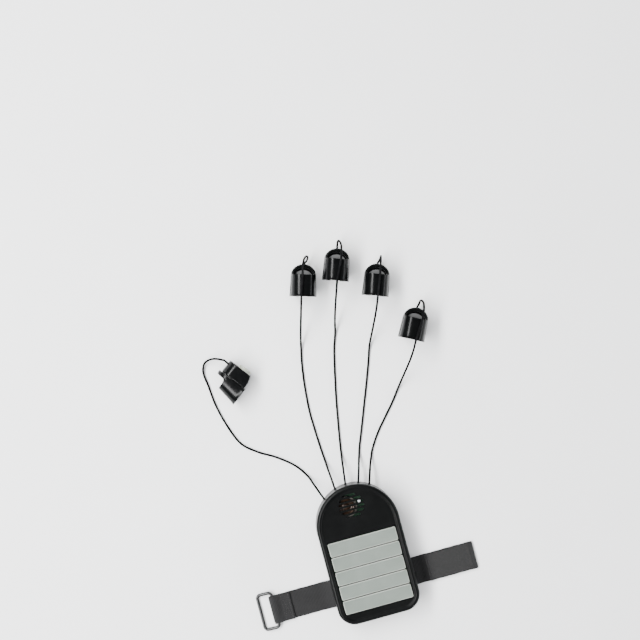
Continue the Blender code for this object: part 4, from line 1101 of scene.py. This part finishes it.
def make_strap(looks):
    band, length = strap()
    seen = show("strap_webbing", band, looks["webbing"], frame_matrix=UNIT_FRAME, replaces=["strap"],
                slot="webbing", sharp=60.0)  # fmt: skip
    patch = show("strap_hook_patch", hook_patch(), looks["hook"], frame_matrix=UNIT_FRAME, slot="webbing")
    low, high = STRAP_Y - 8.8, STRAP_Y + 8.8
    inner, outer, cuff = -60.8, -66.2, 42.0
    rows = [
        stitch_row((inner, low), (inner, high), 2.86, 9),
        stitch_row((outer, low), (outer, high), 2.98, 9),
        stitch_row((inner, low), (outer, high), 2.88, 11),
        stitch_row((outer, low), (inner, high), 2.92, 11),
        stitch_row((cuff, low), (cuff, high), 2.84, 9),
    ]
    threads = [show(f"strap_stitches_{i}", row, looks["thread"], frame_matrix=UNIT_FRAME, slot="webbing")
               for i, row in enumerate(rows, start=1)]  # fmt: skip
    ring = tube_curve("strap_ring_loop", ring_points(), RING_BAR_R, cyclic=True, sides=8)
    ring.data.materials.append(looks["rim"])
    place = UNIT_FRAME @ Matrix.Translation((RING_AXIS[0], STRAP_Y, RING_AXIS[1]))
    place.translation = place.translation * MM
    ring.matrix_world = place
    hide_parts("strap_ring")
    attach(ring, "strap_ring_body")


# ---------------- fingertip sensors


def tapered(piece, rear_half, front_half, rear_top, front_top, floor):
    for vertex in piece.data.vertices:
        share = vertex.co.y / SLEEVE_FRONT_Y
        vertex.co.x *= 1 + share * (front_half / rear_half - 1)
        lowered = 1 + share * ((front_top - floor) / (rear_top - floor) - 1)
        vertex.co.z = floor + (vertex.co.z - floor) * lowered
    return piece


def ahead_of_sleeve():
    """Cutter for all that is ahead of the front edge, which curves forward at its foot into the flange."""
    r, foot = SLEEVE_SWEEP_R, FLANGE_Z[1] - 0.3
    sweep = arc((SLEEVE_FRONT_Y + r, foot + r), (r, r), 180, 270, 20)
    return prism_along_x([(SLEEVE_FRONT_Y, 40), *sweep, (40, foot), (40, 40)], -20, 20)


def sleeve_arch():
    """The solid arch over the finger, before its bore is cut, with its rear flared out to a thin rim."""
    low = ARCH_FOOT_Z
    rear_half, front_half = SLEEVE_HALF
    outline = arch_outline(rear_half, low, SLEEVE_TOP_REAR_Z)
    flare, rise, length = SLEEVE_RIM
    rings = []
    for y in (0.05, 0.35, 0.65, 0.9, 1.2, 1.6, 2.2, 3.0, 4.5, 8.0, 12.0, SLEEVE_FRONT_Y, 18.0, 21.5):
        share = y / SLEEVE_FRONT_Y
        out = math.exp(-((y / length) ** 2))
        wide = 1 + share * (front_half / rear_half - 1) + flare / rear_half * out
        taper = (SLEEVE_TOP_FRONT_Z - low) / (SLEEVE_TOP_REAR_Z - low)
        tall = 1 + share * (taper - 1) + rise / 12.0 * out
        rings.append([(x * wide, y, low + (z - low) * tall) for x, z in outline])
    arch = rings_solid(rings)
    around = d_outline(rear_half + 0.5, CAP_FRONT_HALF - 0.1, -1, CAP_TURN_Y, CAP_FRONT_Y - 0.2)
    combine(arch, prism(around, 13, 30), "INTERSECT")
    return cut(arch, ahead_of_sleeve())


def finger_bore():
    half = SLEEVE_HALF[0] - SLEEVE_WALL
    top = SLEEVE_TOP_REAR_Z - SLEEVE_WALL
    middle = (BORE_FLOOR_Z + top) / 2
    upper = arch_outline(half, middle, top)
    lower = arch_outline(half - 0.8, middle, BORE_FLOOR_Z)[::-1]
    bore = prism_along_y(upper + lower[1:-1], -5, SLEEVE_FRONT_Y + 0.6)
    front_half, front_top = SLEEVE_HALF[1] - SLEEVE_WALL, SLEEVE_TOP_FRONT_Z - SLEEVE_WALL
    return tapered(bore, half, front_half, top, front_top, BORE_FLOOR_Z)


def front_lip():
    """A round bead along the flange's edge, from one foot of the arch round the front to the other."""
    radius = (CAP_FRONT_HALF - TROUGH_HALF) / 2
    middle = CAP_FRONT_HALF - radius - 0.05
    front = arc((0, CAP_TURN_Y), (middle, CAP_FRONT_Y - CAP_TURN_Y - radius - 0.05), 180, 0, 40)
    path = [(-middle, 14.4), *front, (middle, 14.4)]
    section = arc((0, 0), (1, 1), 0, 345, 23)
    rings = []
    for i, (x, y) in enumerate(path):
        ahead, behind = path[min(i + 1, len(path) - 1)], path[max(i - 1, 0)]
        along = Vector((ahead[0] - behind[0], ahead[1] - behind[1], 0)).normalized()
        side = along.cross(Vector((0, 0, 1)))
        centre = Vector((x, y, FLANGE_Z[1] - 0.3))
        rings.append([centre + side * (c * radius) + Vector((0, 0, z * LIP_RISE)) for c, z in section])
    return rings_solid(rings)


def finger_sleeve(base_and_painted_looks):
    """Flange, saddle and arch in one glossy moulding, duller inside its bore and its open trough, which are
    also painted much lighter there: painted light in the shaded window.
    """
    flange = d_outline(CAP_REAR_HALF, CAP_FRONT_HALF, 0, CAP_TURN_Y, CAP_FRONT_Y)
    sleeve = prism(flange, *FLANGE_Z)
    join(sleeve, prism(d_outline(6.8, 6.4, 3.4, 13.5, 18.6), SADDLE_Z, FLANGE_Z[0] + 0.6), sleeve_arch())
    join(sleeve, front_lip())
    for look in base_and_painted_looks:
        sleeve.data.materials.append(look)
    sleeve.data.polygons.foreach_set("material_index", [0] * len(sleeve.data.polygons))
    outline = d_outline(TROUGH_HALF, TROUGH_HALF, 12.0, CAP_TURN_Y, TROUGH_FRONT_Y)
    between_arms = prism(outline, 13, 30)
    cut(between_arms, box((-20, -20, 0), (20, SLEEVE_FRONT_Y - 0.05, 60)))
    # Faces cut by these tools take the paler inner look: painted light inside the shaded window.
    for tool in (finger_bore(), prism(outline, BORE_FLOOR_Z + 0.1, FLANGE_Z[1] + 0.5), between_arms):
        for look in base_and_painted_looks:
            tool.data.materials.append(look)
        tool.data.polygons.foreach_set("material_index", [1] * len(tool.data.polygons))
        cut(sleeve, tool)
    return rounded(sleeve, SLEEVE_EDGE_R, 4, 32.0)


def sensor_housing():
    """The box under the finger, with a leaning rear wall and eased edges."""
    low, top = HOUSING_Z
    rear, front = HOUSING_Y
    housing = prism(d_outline(*HOUSING_HALF, rear, CAP_TURN_Y - 0.6, front), low, top)
    lean, height = HOUSING_SLOPE
    steep = lean / height
    foot_y, top_y = rear + lean + steep * 2, rear - steep * 2
    behind = [(-3, low - 2), (foot_y, low - 2), (top_y, low + height + 2), (-3, low + height + 2)]
    cut(housing, prism_along_x(behind, -20, 20))
    rounded(housing, HOUSING_EDGE_R, 4, 40.0)
    half_rear, half_front = HOUSING_HALF
    wall = HOUSING_WALL
    inside = d_outline(half_rear - wall, half_front - wall, HOUSING_REAR_Y, CAP_TURN_Y - 0.6, front - wall)
    cut(housing, prism(inside, low + HOUSING_FLOOR, top + 5))
    hole_r, mouth_r = BUTTON_R + 0.25, BUTTON_R + 0.55
    hole = [(0, low + 3), (hole_r, low + 3), (hole_r, low + 0.25), (mouth_r, low - 0.1), (mouth_r, 0),
            (0, 0)]  # fmt: skip
    drill = turned(hole, 64)
    drill.data.transform(Matrix.Translation((0, BUTTON_Y, 0)))
    cut(housing, drill)
    forward = Matrix.Rotation(-math.pi / 2, 4, "X")
    return cut(housing, rod((0, front, CORD_HOLE_Z), CORD_R + 0.2, -wall - 1, 1, segments=28, turn=forward))


def push_button():
    """Round button with a soft edge and a shallow dish in its face."""
    low = HOUSING_Z[0] + HOUSING_FLOOR + GAP
    r, collar_r = BUTTON_R, BUTTON_COLLAR_R
    profile = [(0, 7.3), (1.1, 7.3), (1.3, 7.1), (1.3, low + 1), (collar_r, low + 1), (collar_r, low),
               (r, low), (r, 0.9), (r - 0.08, 0.55), (r - 0.3, 0.24), (r - 0.62, 0.06), (r - 1.0, 0.0),
               (r - 1.5, 0.03), (r - 2.2, 0.12), (r - 3.4, 0.19), (0, 0.2)]  # fmt: skip
    button = turned(profile, 64)
    button.data.transform(Matrix.Translation((0, BUTTON_Y, 0)))
    return button


def make_sensors(looks):
    cap_and_lightened_inner_looks = [looks["cap"], looks["cap_inner_lightened"]]
    makers = (("sleeve", "sleeve_shell", finger_sleeve(cap_and_lightened_inner_looks), cap_and_lightened_inner_looks, "cap_plastic"),
              ("housing", "housing_box", sensor_housing(), looks["cap"], "cap_plastic"),
              ("button", "button_disc", push_button(), looks["button"], "button_plastic"))  # fmt: skip
    for kind, label, template, look, slot in makers:
        for name, matrix in sensor_frames().items():
            body = f"{name}_button_body" if kind == "button" else ROOT
            piece = workpiece(template.data.copy())
            show(f"{name}_{label}", piece, look, body, matrix, [f"{name}_{kind}"], slot)
        bpy.data.objects.remove(template)


# ---------------- CAD nodes that stay


def dress_cad_nodes(looks):
    """Gives the CAD nodes that stay in view, most of them inside the unit, their own materials."""
    kept = {
        "circuit_board": "board", "speaker_frame": "basket", "sound_chip": "chip", "key_mat": "silicone",
        "battery_spring_1": "steel", "battery_spring_2": "steel", "battery_plate": "steel",
        "cable_anchor": "case", "power_switch_body": "chip",
    }  # fmt: skip
    for name in FINGER_NAMES:
        kept[f"{name}_board"] = "board"
        kept[f"{name}_switch"] = "chip"
    for node, look in kept.items():
        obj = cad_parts[node]
        obj.data.materials.clear()
        obj.data.materials.append(looks[look])


# ---------------- studio


def make_stage():
    made, tree, shader = fresh_look("floor_pale", {"Roughness": 0.7})
    cloud = noise_texture(tree, object_space(tree), 60.0)
    link_surface(tree, shader, ramp(tree, cloud, (0.865, 0.87, 0.875), (0.885, 0.89, 0.895)))
    floor = box((-6000, -6000, -20.0), (6000, 6000, -0.1))
    floor.name = "floor"
    floor.data.transform(Matrix.Scale(MM, 4))
    floor.data.materials.append(made)


def area_light(name, place, target, size, power, colour=(1, 1, 1), glossy=True):
    data = bpy.data.lights.new(name, "AREA")
    data.shape = "RECTANGLE"
    data.size, data.size_y = size
    data.energy = power
    data.color = colour
    light = new_object(name, data)
    light.location = place
    light.rotation_euler = (Vector(target) - Vector(place)).to_track_quat("-Z", "Y").to_euler()
    light.visible_glossy = glossy


def make_lights():
    """A soft strip at each side, a wide overhead that leaves no highlight, and weak light from the rear."""
    area_light("left_strip", (-0.66, 0.1, 1.0), (0, 0.07, 0), (1.7, 0.26), 50.0)
    area_light("right_strip", (1.1, 0.05, 0.35), (0, 0.07, 0), (1.5, 0.2), 10.0, (0.96, 0.98, 1.0))
    area_light("overhead", (-0.3, 0.3, 1.6), (0, 0.07, 0), (1.6, 1.6), 34.0, glossy=False)
    area_light("rear_light", (-0.1, -1.0, 0.6), (0, 0.06, 0), (1.0, 0.4), 3.0)
    world = bpy.data.worlds.new("studio")
    world.use_nodes = True
    set_inputs(world.node_tree.nodes["Background"], {"Color": (0.97, 0.98, 1.0, 1.0), "Strength": 0.3})
    bpy.context.scene.world = world


make_camera()
looks = make_looks()
make_cords(looks)
make_unit(looks)
make_strap(looks)
make_sensors(looks)
dress_cad_nodes(looks)
make_stage()
make_lights()
